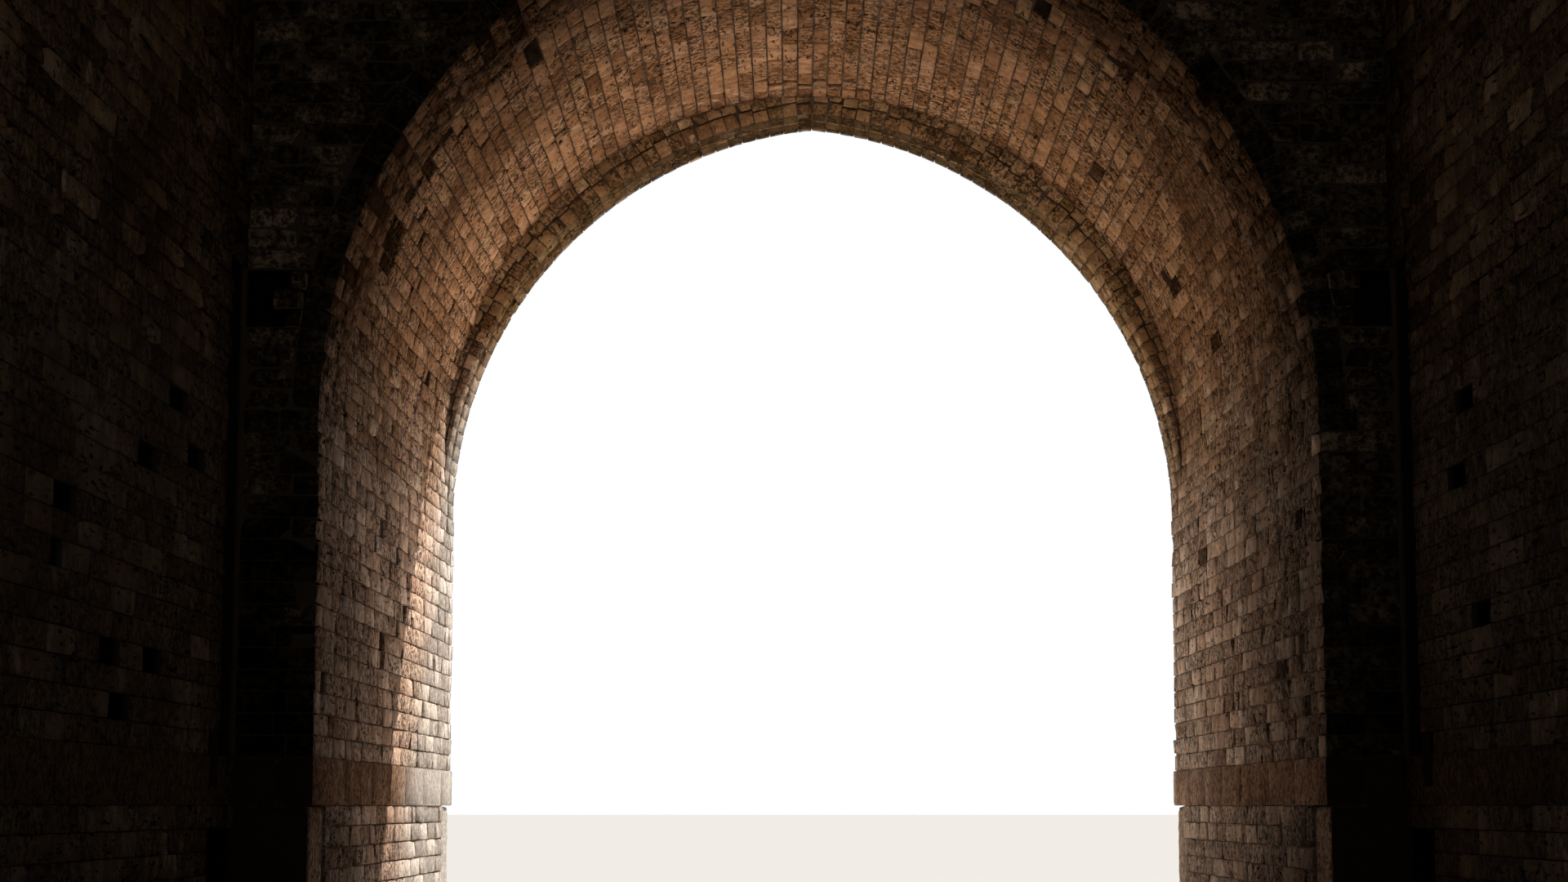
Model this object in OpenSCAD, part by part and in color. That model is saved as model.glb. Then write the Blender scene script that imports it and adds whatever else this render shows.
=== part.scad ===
// Arched city gate of grey brick with stone corner blocks.
// A narrow vaulted passage opens through a door wall into a taller, wider vaulted chamber.
// Origin: ground level at the middle of the plan. X runs along the wall line, Y goes from the
// chamber mouth out through the passage, Z is up. All sizes are millimetres at full size.

/* [Gate block] */
// Length of the gate block along the wall line
block_l = 17000; // [14000:100:22000]
// Masonry between the crown of the chamber vault rings and the string course
crown_cover = 380; // [100:20:2000]
// Inward lean of each long face up to the string course
batter = 260; // [0:10:400]

/* [Passage] */
// Clear width of the passage
passage_w = 5340; // [4600:20:5700]
// Depth of the passage from the door wall to the outer face
passage_d = 5900; // [4500:50:8000]
// Height where the round passage vault springs
vault_spring = 3650; // [3560:10:3680]
// How far the crown of the passage vault stands above a half circle
vault_point = 20; // [10:5:80]
// Height where the lower, pointed arches at both ends of the passage spring
end_spring = 3250; // [3050:10:3300]
// How far the crown of an end arch stands above a half circle
end_point = 280; // [200:10:330]
// Depth of the arch in the door wall along the passage
door_arch_d = 800; // [400:10:1200]
// Depth of the outer arch along the passage
outer_arch_d = 650; // [400:10:1200]

/* [Chamber] */
// Step from the passage wall out to the chamber wall on each side
chamber_step = 400; // [300:10:600]
// Depth of the chamber from the door wall to the city face
chamber_d = 8600; // [5000:50:11000]
// Height where the chamber vault springs
chamber_spring = 5500; // [5000:20:5600]
// Rise of the chamber vault above its springing
chamber_rise = 3400; // [3200:10:3600]

/* [Vault rings] */
// Thickness of a ring of bricks on end
ring_t = 330; // [250:5:360]
// Thickness of a flat cover ring
cover_t = 120; // [90:5:140]
// Half width of the crown masonry above each vault
crown_half = 3300; // [3100:20:3400]

/* [Stone work] */
// Height of the plinth under the stone waist course
plinth_h = 1160; // [1080:10:1190]
// Height of the stone waist course
waist_h = 250; // [200:10:350]
// How far the waist course stands out from the brick
waist_proud = 15; // [5:1:40]
// Side of each stone corner block on plan
corner_s = 450; // [350:10:600]

/* [Door fittings] */
// Length of the door post chase along the chamber wall
post_chase_l = 430; // [300:10:440]
// Depth of the door post chase into the chamber wall
post_chase_d = 120; // [60:5:200]
// Length of the post foot niche along the chamber wall
foot_niche_l = 670; // [450:10:840]
// Depth of the post foot niche into the chamber wall
foot_niche_d = 250; // [150:10:400]
// Height of the post foot niche
foot_niche_h = 1040; // [800:10:1070]
// Height of the underside of the lintel beam pocket
lintel_z = 3700; // [3700:10:3900]
// Height of the lintel beam pocket
lintel_h = 310; // [200:10:400]
// Depth of the lintel beam pocket into the chamber wall
lintel_pocket_d = 430; // [250:10:600]
// Depth of the lintel beam chase into the door wall
lintel_chase_d = 150; // [80:5:250]
// Distance from the door wall to the near side of the bar socket
bar_gap = 500; // [450:10:650]
// Width of the bar socket
bar_w = 200; // [120:10:260]
// Height of the underside of the bar socket
bar_z = 1250; // [1200:10:1500]
// Height of the bar socket
bar_h = 280; // [200:10:400]
// Depth of the bar socket into the chamber wall
bar_d = 600; // [300:10:900]
// Brickwork of the door jamb beyond the bar socket
jamb_margin = 160; // [50:10:400]

/* [Wall top] */
// Height of the brick corbel row under the string course
corbel_h = 160; // [120:5:200]
// How far the corbel row stands out
corbel_proj = 60; // [30:5:90]
// Height of the smooth upper part of the string course
string_h = 300; // [200:10:360]
// How far the smooth part stands out
string_proj = 120; // [100:5:160]
// Depth of the string course into the wall
string_back = 520; // [500:10:700]
// Height of the deck above the foot of the string course
deck_h = 420; // [300:10:440]
// Thickness of the parapet
parapet_t = 450; // [300:10:480]
// Height of the parapet under its coping
parapet_h = 840; // [600:10:1200]
// Overhang of the coping on each side
coping_over = 30; // [10:5:60]
// Height of the coping edge
coping_edge = 60; // [40:5:90]
// Height of the coping ridge
coping_h = 110; // [95:5:160]

/* [Hidden] */
y_out = (passage_d + chamber_d) / 2;
y_city = -y_out;
y_door = y_out - passage_d;
half_l = block_l / 2;
pa = passage_w / 2;
ca = pa + chamber_step;
waist_top = plinth_h + waist_h;
face_top = y_out - batter;
string_top = corbel_h + string_h;
vault_y0 = y_door + door_arch_d;
vault_y = y_out - outer_arch_d;

// Distance of each arc centre from the middle of a pointed arch
function arc_e(a, rise) = (rise * rise - a * a) / (2 * a);

p_e = arc_e(pa, pa + vault_point);
end_e = arc_e(pa, pa + end_point);
c_e = arc_e(ca, chamber_rise);
p_t1 = ring_t;
p_t2 = p_t1 + cover_t;
p_t3 = p_t2 + ring_t;
p_t4 = p_t3 + cover_t;
p_t5 = p_t4 + ring_t;
p_t6 = p_t5 + cover_t;
c_t1 = ring_t;
c_t2 = c_t1 + cover_t;
c_t3 = c_t2 + ring_t;
c_t4 = c_t3 + cover_t;

// Height of the crown of a pointed arch above its springing, with its arcs moved out by t
function arch_top(a, e, t) = sqrt((a + e + t) * (a + e + t) - e * e);

wall_h = chamber_spring + arch_top(ca, c_e, c_t4) + crown_cover;
deck_top = wall_h + deck_h;
parapet_z = wall_h + string_top;
coping_z = parapet_z + parapet_h;
y_jamb = y_door - bar_gap - bar_w - jamb_margin;

brick = [0.46, 0.45, 0.43];
warm = [0.55, 0.44, 0.35];
stone = [0.66, 0.60, 0.52];
pale = [0.62, 0.62, 0.60];

$fn = 360;

// Box given by its low and high corners
module span(a, b) {
  translate(a)
    cube(b - a);
}

// Keeps only what lies between the two leaning long faces, moved out by grow
module between_faces(grow = 0) {
  intersection() {
    children();
    rotate([90, 0, 90])
      linear_extrude(height = block_l + 200, center = true)
        polygon([
          [y_city - grow, 0],
          [y_out + grow, 0],
          [face_top + grow, wall_h],
          [-face_top - grow, wall_h]
        ]);
  }
}

// Solid under a pointed arch from y0 to y1, with its arcs moved out by t
module under_arch(a, e, t, spring, y0, y1, drop = 0) {
  r = a + e + t;
  intersection() {
    translate([-e, y1, spring])
      rotate([90, 0, 0])
        cylinder(r = r, h = y1 - y0);
    translate([e, y1, spring])
      rotate([90, 0, 0])
        cylinder(r = r, h = y1 - y0);
    span([-r, y0, spring - drop], [r, y1, spring + r + 10]);
  }
}

// One ring of a barrel vault between the offsets t0 and t1
module vault_ring(a, e, t0, t1, spring, y0, y1) {
  difference() {
    under_arch(a, e, t1, spring, y0, y1);
    under_arch(a, e, t0, spring, y0 - 10, y1 + 10, 10);
  }
}

// Lower arch at an end of the passage, as thick as it takes to reach the rings above the vault
module end_arch(y0, y1) {
  difference() {
    union() {
      under_arch(pa, p_e, p_t1, vault_spring, y0, y1, vault_spring - end_spring);
      end_arch_foot(y0, y1);
    }
    under_arch(pa, end_e, 0, end_spring, y0 - 10, y1 + 10, 10);
  }
}

// Block between the springings of the end arches and of the vault
module end_arch_foot(y0, y1) {
  span([-pa - p_t2, y0, end_spring], [pa + p_t2, y1, vault_spring]);
}

// All pockets that the lost door left in one side of the chamber
module door_pockets() {
  span([ca - 50, y_door - post_chase_l, waist_top], [ca + post_chase_d, y_door, lintel_z + 10]);
  span([ca - 50, y_door - foot_niche_l, -10], [ca + foot_niche_d, y_door, foot_niche_h]);
  span([ca - 50, y_door - post_chase_l, lintel_z], [ca + lintel_pocket_d, y_door, lintel_z + lintel_h]);
  span([ca - 50, y_door - bar_gap - bar_w, bar_z], [ca + bar_d, y_door - bar_gap, bar_z + bar_h]);
}

// Chase of the lintel beam across one shoulder of the door wall
module lintel_chase() {
  span([pa - 400, y_door - 50, lintel_z], [ca, y_door + lintel_chase_d, lintel_z + lintel_h]);
}

module both_chases() {
  both_sides()
    lintel_chase();
}

// Right hand pieces; the left ones are their mirror images
module corner_stone_mouth() {
  between_faces()
    span([ca, y_city, 0], [ca + corner_s, y_city + corner_s, plinth_h]);
}

module corner_stone_door() {
  span([pa, y_door, 0], [pa + corner_s, y_door + corner_s, plinth_h]);
}

module corner_stone_outer() {
  between_faces()
    span([pa, y_out - corner_s, 0], [pa + corner_s, y_out, plinth_h]);
}

module plinth_chamber() {
  difference() {
    between_faces()
      span([ca, y_city, 0], [half_l, y_door, plinth_h]);
    span([ca - 10, y_city - 10, -10], [ca + corner_s, y_city + corner_s, plinth_h + 10]);
    door_pockets();
  }
}

module plinth_passage() {
  difference() {
    between_faces()
      span([pa, y_door, 0], [half_l, y_out, plinth_h]);
    span([pa - 10, y_door - 10, -10], [pa + corner_s, y_door + corner_s, plinth_h + 10]);
    span([pa - 10, y_out - corner_s, -10], [pa + corner_s, y_out + 10, plinth_h + 10]);
  }
}

module waist_course_chamber() {
  difference() {
    between_faces(waist_proud)
      span([ca - waist_proud, y_city - 50, plinth_h], [half_l, y_door, waist_top]);
    door_pockets();
  }
}

module waist_course_passage() {
  between_faces(waist_proud)
    union() {
      span([pa - waist_proud, y_door, plinth_h], [half_l, y_out + 50, waist_top]);
      span([pa - waist_proud, y_door - waist_proud, plinth_h], [ca - waist_proud, y_door + 1, waist_top]);
    }
}

module wall_chamber() {
  between_faces()
    span([ca, y_city, waist_top], [half_l, y_jamb, chamber_spring]);
}

module door_jamb_lower() {
  difference() {
    span([ca, y_jamb, waist_top], [half_l, y_door, lintel_z]);
    door_pockets();
  }
}

module door_jamb_upper() {
  difference() {
    span([ca, y_jamb, lintel_z], [half_l, y_door, chamber_spring]);
    door_pockets();
  }
}

module wall_passage() {
  difference() {
    between_faces()
      span([pa, y_door, waist_top], [half_l, y_out, vault_spring]);
    end_arch_foot(y_door - 10, vault_y0);
    end_arch_foot(vault_y, y_out + 10);
  }
}

module haunch_passage() {
  difference() {
    between_faces()
      span([crown_half, y_door, vault_spring], [half_l, y_out, wall_h]);
    under_arch(pa, p_e, p_t6, vault_spring, y_door - 10, y_out + 10, 10);
  }
}

module haunch_chamber() {
  difference() {
    between_faces()
      span([crown_half, y_city, chamber_spring], [half_l, y_door, wall_h]);
    under_arch(ca, c_e, c_t4, chamber_spring, y_city - 10, y_door + 10, 10);
  }
}

// Section of the string course, drawn outward from the face at its foot
module string_section() {
  polygon([
    [-string_back, 0],
    [corbel_proj, 0],
    [corbel_proj, corbel_h],
    [string_proj, corbel_h],
    [string_proj, string_top],
    [-string_back, string_top]
  ]);
}

module coping_section() {
  w = parapet_t / 2 + coping_over;
  polygon([
    [-w, 0],
    [w, 0],
    [w, coping_edge],
    [40, coping_h],
    [-40, coping_h],
    [-w, coping_edge]
  ]);
}

// Runs a section along the whole block; 2D x goes outward on the outer side
module along_block() {
  rotate([90, 0, 90])
    translate([0, 0, -half_l])
      linear_extrude(height = block_l)
        children();
}

module string_course() {
  translate([0, face_top, wall_h])
    along_block()
      string_section();
}

module parapet() {
  span([-half_l, face_top - parapet_t, parapet_z], [half_l, face_top, coping_z]);
}

module coping() {
  translate([0, face_top - parapet_t / 2, coping_z])
    along_block()
      coping_section();
}

module left() {
  mirror([1, 0, 0])
    children();
}

module both_sides() {
  children();
  left()
    children();
}

module city() {
  mirror([0, 1, 0])
    children();
}

module plinth_chamber_left() { color(brick) left() plinth_chamber(); }
module plinth_chamber_right() { color(brick) plinth_chamber(); }
module plinth_passage_left() { color(brick) left() plinth_passage(); }
module plinth_passage_right() { color(brick) plinth_passage(); }
module corner_stones_mouth() { color(stone) both_sides() corner_stone_mouth(); }
module corner_stones_door() { color(stone) both_sides() corner_stone_door(); }
module corner_stones_outer() { color(stone) both_sides() corner_stone_outer(); }
module waist_course_chamber_left() { color(stone) left() waist_course_chamber(); }
module waist_course_chamber_right() { color(stone) waist_course_chamber(); }
module waist_course_passage_left() { color(stone) left() waist_course_passage(); }
module waist_course_passage_right() { color(stone) waist_course_passage(); }
module wall_chamber_left() { color(brick) left() wall_chamber(); }
module wall_chamber_right() { color(brick) wall_chamber(); }
module door_jamb_lower_left() { color(brick) left() door_jamb_lower(); }
module door_jamb_lower_right() { color(brick) door_jamb_lower(); }
module door_jamb_upper_left() { color(brick) left() door_jamb_upper(); }
module door_jamb_upper_right() { color(brick) door_jamb_upper(); }
module wall_passage_left() { color(brick) left() wall_passage(); }
module wall_passage_right() { color(brick) wall_passage(); }

module door_arch() {
  color(warm)
    difference() {
      end_arch(y_door, vault_y0);
      both_chases();
    }
}

module outer_arch() {
  color(warm)
    between_faces()
      end_arch(vault_y, y_out);
}

module passage_vault_ring_1() {
  color(warm)
    vault_ring(pa, p_e, 0, p_t1, vault_spring, vault_y0, vault_y);
}

module passage_cover_ring_1() {
  color(brick)
    difference() {
      between_faces()
        vault_ring(pa, p_e, p_t1, p_t2, vault_spring, y_door, y_out);
      both_chases();
    }
}

module passage_vault_ring_2() {
  color(warm)
    difference() {
      between_faces()
        vault_ring(pa, p_e, p_t2, p_t3, vault_spring, y_door, y_out);
      both_chases();
    }
}

module passage_cover_ring_2() {
  color(brick)
    between_faces()
      vault_ring(pa, p_e, p_t3, p_t4, vault_spring, y_door, y_out);
}

module passage_vault_ring_3() {
  color(warm)
    between_faces()
      vault_ring(pa, p_e, p_t4, p_t5, vault_spring, y_door, y_out);
}

module passage_cover_ring_3() {
  color(brick)
    between_faces()
      vault_ring(pa, p_e, p_t5, p_t6, vault_spring, y_door, y_out);
}

module chamber_vault_ring_1() {
  color(warm)
    between_faces()
      vault_ring(ca, c_e, 0, c_t1, chamber_spring, y_city, y_door);
}

module chamber_cover_ring_1() {
  color(brick)
    between_faces()
      vault_ring(ca, c_e, c_t1, c_t2, chamber_spring, y_city, y_door);
}

module chamber_vault_ring_2() {
  color(warm)
    between_faces()
      vault_ring(ca, c_e, c_t2, c_t3, chamber_spring, y_city, y_door);
}

module chamber_cover_ring_2() {
  color(brick)
    between_faces()
      vault_ring(ca, c_e, c_t3, c_t4, chamber_spring, y_city, y_door);
}

module haunch_passage_left() { color(brick) left() haunch_passage(); }
module haunch_passage_right() { color(brick) haunch_passage(); }
module haunch_chamber_left() { color(brick) left() haunch_chamber(); }
module haunch_chamber_right() { color(brick) haunch_chamber(); }

module crown_passage() {
  color(brick)
    difference() {
      between_faces()
        span([-crown_half, y_door, vault_spring], [crown_half, y_out, wall_h]);
      under_arch(pa, p_e, p_t6, vault_spring, y_door - 10, y_out + 10, 10);
    }
}

module crown_chamber() {
  color(brick)
    difference() {
      between_faces()
        span([-crown_half, y_city, chamber_spring], [crown_half, y_door, wall_h]);
      under_arch(ca, c_e, c_t4, chamber_spring, y_city - 10, y_door + 10, 10);
    }
}

module deck() {
  color(pale)
    span([-half_l, string_back - face_top, wall_h], [half_l, face_top - string_back, deck_top]);
}

module string_course_city() { color(pale) city() string_course(); }
module string_course_outer() { color(pale) string_course(); }
module parapet_city() { color(brick) city() parapet(); }
module parapet_outer() { color(brick) parapet(); }
module coping_city() { color(pale) city() coping(); }
module coping_outer() { color(pale) coping(); }

plinth_chamber_left();
plinth_chamber_right();
plinth_passage_left();
plinth_passage_right();
corner_stones_mouth();
corner_stones_door();
corner_stones_outer();
waist_course_chamber_left();
waist_course_chamber_right();
waist_course_passage_left();
waist_course_passage_right();
wall_chamber_left();
wall_chamber_right();
door_jamb_lower_left();
door_jamb_lower_right();
door_jamb_upper_left();
door_jamb_upper_right();
wall_passage_left();
wall_passage_right();
door_arch();
outer_arch();
passage_vault_ring_1();
passage_cover_ring_1();
passage_vault_ring_2();
passage_cover_ring_2();
passage_vault_ring_3();
passage_cover_ring_3();
chamber_vault_ring_1();
chamber_cover_ring_1();
chamber_vault_ring_2();
chamber_cover_ring_2();
haunch_passage_left();
haunch_passage_right();
haunch_chamber_left();
haunch_chamber_right();
crown_passage();
crown_chamber();
deck();
string_course_city();
string_course_outer();
parapet_city();
parapet_outer();
coping_city();
coping_outer();
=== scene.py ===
import math

import bmesh
import bpy
import numpy as np
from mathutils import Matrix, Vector


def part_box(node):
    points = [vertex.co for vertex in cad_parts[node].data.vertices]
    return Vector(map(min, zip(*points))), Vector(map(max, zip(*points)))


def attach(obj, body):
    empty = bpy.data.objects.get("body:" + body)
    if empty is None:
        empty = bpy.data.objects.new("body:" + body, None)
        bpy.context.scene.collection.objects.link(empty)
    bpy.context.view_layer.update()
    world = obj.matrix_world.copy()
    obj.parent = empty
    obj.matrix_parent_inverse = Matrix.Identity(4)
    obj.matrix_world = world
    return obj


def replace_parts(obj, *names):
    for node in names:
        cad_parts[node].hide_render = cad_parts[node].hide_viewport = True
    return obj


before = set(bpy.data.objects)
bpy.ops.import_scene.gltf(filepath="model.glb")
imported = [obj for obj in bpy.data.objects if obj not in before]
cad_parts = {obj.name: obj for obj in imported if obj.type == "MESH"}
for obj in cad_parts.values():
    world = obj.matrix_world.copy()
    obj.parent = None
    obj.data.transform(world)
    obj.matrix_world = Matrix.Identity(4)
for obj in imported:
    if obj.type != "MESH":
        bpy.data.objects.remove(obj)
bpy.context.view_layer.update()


# Sizes in metres, read from the frame

def low(node):
    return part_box(node)[0]


def high(node):
    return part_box(node)[1]


def crown_of(node):
    """Height of the lowest point of an arch on the middle plane."""
    points = np.array([v.co[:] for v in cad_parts[node].data.vertices])
    return float(points[np.abs(points[:, 0]) < 0.001, 2].min())


HALF_L = high("wall_passage_right").x
PA = low("wall_passage_right").x
CA = low("wall_chamber_right").x
Y_OUT = high("plinth_passage_right").y
Y_DOOR = low("door_arch").y
Y_RING = high("door_arch").y
Y_RIM = low("outer_arch").y
WAIST = low("waist_course_chamber_right").z
WAIST_TOP = high("waist_course_chamber_right").z
WAIST_PROUD = PA - low("waist_course_passage_right").x
E_SPRING = low("door_arch").z
P_SPRING = low("passage_vault_ring_1").z
C_SPRING = low("chamber_vault_ring_1").z
LINTEL = low("door_jamb_upper_right").z
WALL_TOP = low("string_course_outer").z
STRING_TOP = high("string_course_outer").z
PARAPET_TOP = low("coping_outer").z
FACE_TOP = high("parapet_outer").y
PARAPET_BACK = low("parapet_outer").y
STRING_OUT = high("string_course_outer").y
DECK_TOP = high("deck").z
DECK_HALF = high("deck").y
LEAN = (Y_OUT - FACE_TOP) / WALL_TOP

SIDES = {-1: "left", 1: "right"}
FACES = {-1: "city", 1: "outer"}

# Pockets of the lost door
POST_CHASE = 0.43
POST_DEPTH = 0.12
LINTEL_TOP = LINTEL + 0.31
CHASE = 0.15
BAR_Y = (0.65, 0.85)
BAR_TOP = 1.53
NICHE_Y = Y_DOOR - 0.67
NICHE_TOP = 1.04
CORNER = 0.45
CORBEL_H = 0.16
CORBEL_OUT = 0.06

# Top of the dressed courses of the door wall
DRESSED_TOP = 2.64

# Bricks
LONG = 0.40
SHORT = 0.20
COURSE = 0.115
VAULT_ROW = 0.106
JOINT = 0.010
PROUD = 0.009
EMBED = 0.02
DEEP = 0.195
PARAPET_COURSE = 0.12
# Shortest end of a course as a share of a brick, and shortest part beside a gap
CLOSER = 0.28
LEAST_BLOCK = 0.04
# Most of a block that a bite or a chamfer takes at one end, along and up
MOST_BITE = (0.3, 0.35)
MOST_CHAMFER = (0.25, 0.3)
# Shortest front, and lowest level of a front
LEAST_FRONT = 0.004
LEAST_LEVEL = 0.002
# How far a hole starts in front of the wall
HOLE_FRONT = 0.05
# Play of levels, and how far a course may pass the edge of a pocket
NEAR = 0.001
PLAY = 0.05
# Half width at which an arch or a wall under a vault counts as closed
CLOSED_ARCH = 0.05
CLOSED_WALL = 0.3
# Run of a flat arch in one course that takes short blocks, and shortest course beside it
FLAT_RUN = 0.45
LEAST_RUN = 0.03
# Where the bricks of the outer arch are split, and how far broken ends stand back in the chase
SPLIT = (0.42, 0.58)
BROKEN = (0.12, 0.24)

# Stones
STONE_LENGTH = (0.6, 1.1)
STONE_REST = 1.5
STONE_CUTS = (9, 9, 22)
COPING_EDGE = 0.06
COPING_RIDGE = (0.42, 0.58)
SLAB_SINK = 0.004
SLAB_JOINT = 0.003
SLAB_ROUND = 0.004
SLAB_BEVEL = 0.010


# Arches and surfaces. A surface turns (s, t, n) into x, y, z: s runs along a course, t goes up
# from course to course and n comes out of the wall.

class Arch:
    """Pointed arch of half span a that springs at height z; its arc centres lie e past the middle.
    With a leg, the wall below the springing counts as the first part of the curve."""

    def __init__(self, a, e, z, leg=0.0):
        self.a, self.e, self.z, self.leg = a, e, z, leg
        self.r = a + e
        self.half = leg + self.r * math.acos(e / self.r)

    def at(self, t, n):
        """x and z at length t from the right foot, n inside the arch."""
        right = t <= self.half
        up = np.where(right, t, 2 * self.half - t) - self.leg
        angle = np.maximum(up, 0) / self.r
        x = -self.e + (self.r - n) * np.cos(angle)
        return np.where(right, x, -x), self.z + (self.r - n) * np.sin(angle) + np.minimum(up, 0)

    def width_at(self, z, grow=0.0):
        """Half width at height z with the arcs moved out by grow, and 0 above the crown."""
        r = self.r + grow
        h = max(z - self.z, 0.0)
        return max(math.sqrt(r * r - h * h) - self.e, 0.0) if h < r else 0.0

    def gap_to(self, other, grow, t):
        """Distance outward from arc length t to the arcs of another arch moved out by grow."""
        angle = (t if t <= self.half else 2 * self.half - t) / self.r
        dx, dz = math.cos(angle), math.sin(angle)
        px, pz = other.e - self.e + self.r * dx, self.z - other.z + self.r * dz
        b = dx * px + dz * pz
        return math.sqrt(b * b - px * px - pz * pz + (other.r + grow) ** 2) - b


def arch_from_ring(node, a, z, grow):
    """The inner arch of a vault, from the outer box of one of its rings."""
    half = high(node).x
    rise = high(node).z - z
    e = (rise * rise - half * half) / (2 * half)
    radius = half + e - grow
    return Arch(a, radius - a, z)


def arch_from_crown(node, a, z):
    rise = crown_of(node) - z
    return Arch(a, (rise * rise - a * a) / (2 * a), z)


def ring_offsets(room, rings, half):
    """Distances of the rings of a vault from its soffit; each ring has a cover ring on it."""
    return [0.0] + [high(f"{room}_{kind}_ring_{k}").x - half
                    for k in range(1, rings + 1) for kind in ("vault", "cover")]


P_OFFSETS = ring_offsets("passage", 3, PA)
C_OFFSETS = ring_offsets("chamber", 2, CA)
PASSAGE = arch_from_ring("passage_cover_ring_3", PA, P_SPRING, P_OFFSETS[-1])
CHAMBER = arch_from_ring("chamber_cover_ring_2", CA, C_SPRING, C_OFFSETS[-1])
END = arch_from_crown("door_arch", PA, E_SPRING)
VAULT = Arch(PASSAGE.a, PASSAGE.e, PASSAGE.z, P_SPRING - E_SPRING)


def face_y(z):
    """Distance of the leaning long faces from the middle plane at height z."""
    return Y_OUT - LEAN * z


def soffit(arch):
    def surface(s, t, n):
        x, z = arch.at(t, n)
        return x, s, z
    return surface


def side_wall(side, x0):
    """Wall beside an opening, facing the middle; s is y and t is z."""
    return lambda s, t, n: (side * (x0 - n), s, t)


def end_face(side, x0):
    """Wall along Y that faces away from the middle; s is y and t is z."""
    return lambda s, t, n: (side * (x0 + n), s, t)


def long_face(sign, out=0.0):
    """Leaning outer (1) or city (-1) face; s is x and t is z."""
    return lambda s, t, n: (s, sign * (face_y(t) + out + n), t)


def upright(sign, y0):
    """Upright wall along X that faces +Y (1) or -Y (-1); s is x and t is z."""
    return lambda s, t, n: (s, y0 + sign * n, t)


def flat_top(z0):
    return lambda s, t, n: (s, t, z0 + n)


def ring_face(arch, plane):
    """Front of an arch ring; s is arc length on the arch and t the distance outside it."""
    def surface(s, t, n):
        right = s <= arch.half
        angle = np.where(right, s, 2 * arch.half - s) / arch.r
        x = -arch.e + (arch.r + t) * np.cos(angle)
        z = arch.z + (arch.r + t) * np.sin(angle)
        return plane(np.where(right, x, -x), z, n)
    return surface


# Blocks: every brick or stone is a closed block with a worn front

# What a style leaves out. joint is the width of the bed joints and butt of those between the ends
# of blocks, proud how far a block stands out, uneven and worn how much that varies, knocks the
# share of its corners that are knocked off and knock their size, and tones the range of its tones.
PLAIN = dict(columns=1, joint=JOINT, butt=None, proud=PROUD, uneven=0.002, chamfer=0.006, worn=0.002,
             knocks=0.0, knock=0.02, tones=(0.0, 1.0))
STYLES = dict(
    vault=dict(columns=3, joint=0.009, butt=0.003, proud=0.016, uneven=0.003, chamfer=0.002,
               worn=0.004, knocks=0.05, knock=0.025),
    crust=dict(columns=3, joint=0.004, butt=0.002, proud=0.008, uneven=0.0015, chamfer=0.002,
               worn=0.003, knocks=0.05, knock=0.03),
    arris=dict(columns=2, joint=0.004, proud=0.013, chamfer=0.004, worn=0.004, knocks=0.05,
               knock=0.03),
    jamb=dict(columns=3, joint=0.004, butt=0.003, proud=0.010, uneven=0.0025, chamfer=0.002,
              worn=0.006, knocks=0.07, knock=0.03),
    chamber=dict(columns=2, joint=0.003, butt=0.002, proud=0.010, uneven=0.0015, chamfer=0.003,
                 worn=0.004, knocks=0.05, knock=0.03),
    ragged=dict(columns=3, joint=0.005, butt=0.004, proud=0.013, uneven=0.004, chamfer=0.004,
                worn=0.007, knocks=0.2, knock=0.035),
    rubble=dict(columns=3, joint=0.005, proud=0.014, uneven=0.006, chamfer=0.005, worn=0.009,
                knocks=0.35, knock=0.035),
    dark=dict(columns=2, joint=0.004, proud=0.006, chamfer=0.003, worn=0.003, tones=(-1, -1)),
    dressed=dict(columns=2, joint=0.005, proud=0.006, uneven=0.001, chamfer=0.004, worn=0.001),
    face=dict(uneven=0.0015, chamfer=0.004, knocks=0.08),
    stone=dict(columns=3, joint=0.006, proud=0.003, uneven=0.0012, worn=0.003, knocks=0.12,
               knock=0.03),
    paving=dict(proud=0.006, uneven=0.0015, chamfer=0.004, knocks=0.1),
    corbel=dict(columns=2, joint=0.03, proud=0.006, chamfer=0.004, knocks=0.1),
    band=dict(columns=2, joint=0.004, proud=0.004, uneven=0.0008, chamfer=0.004, worn=0.001),
)


class Mesh:
    """Collects the blocks of one piece."""

    def __init__(self, seed):
        self.rng = np.random.default_rng(seed)
        self.points = []
        self.tones = []
        self.loops = []
        self.sizes = []
        self.count = 0

    def add(self, xyz, faces, flip, tones):
        """xyz is blocks x corners x 3, and faces the polygons of one block."""
        blocks, corners = xyz.shape[:2]
        base = self.count + np.arange(blocks)[:, None] * corners
        order = [f[::-1] if flip else f for f in faces]
        flat = np.concatenate([np.array(f) for f in order])
        self.loops.append((base + flat[None, :]).ravel())
        self.sizes.append(np.tile([len(f) for f in order], blocks))
        self.points.append(xyz.reshape(-1, 3))
        self.tones.append(np.repeat(tones, corners))
        self.count += blocks * corners

    def piece(self, name, material):
        points, loops, sizes, tones = map(np.concatenate, (self.points, self.loops, self.sizes, self.tones))
        mesh = bpy.data.meshes.new(name)
        mesh.vertices.add(len(points))
        mesh.vertices.foreach_set("co", points.astype(np.float32).ravel())
        mesh.loops.add(len(loops))
        mesh.loops.foreach_set("vertex_index", loops.astype(np.int32))
        mesh.polygons.add(len(sizes))
        starts = np.concatenate([[0], np.cumsum(sizes)[:-1]])
        mesh.polygons.foreach_set("loop_start", starts.astype(np.int32))
        mesh.polygons.foreach_set("loop_total", sizes.astype(np.int32))
        mesh.update(calc_edges=True)
        tone = mesh.attributes.new("tone", "FLOAT", "POINT")
        tone.data.foreach_set("value", tones.astype(np.float32))
        return finish_piece(new_object(name, mesh), material)


def new_object(name, data):
    obj = bpy.data.objects.new(name, data)
    bpy.context.scene.collection.objects.link(obj)
    return obj


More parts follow.
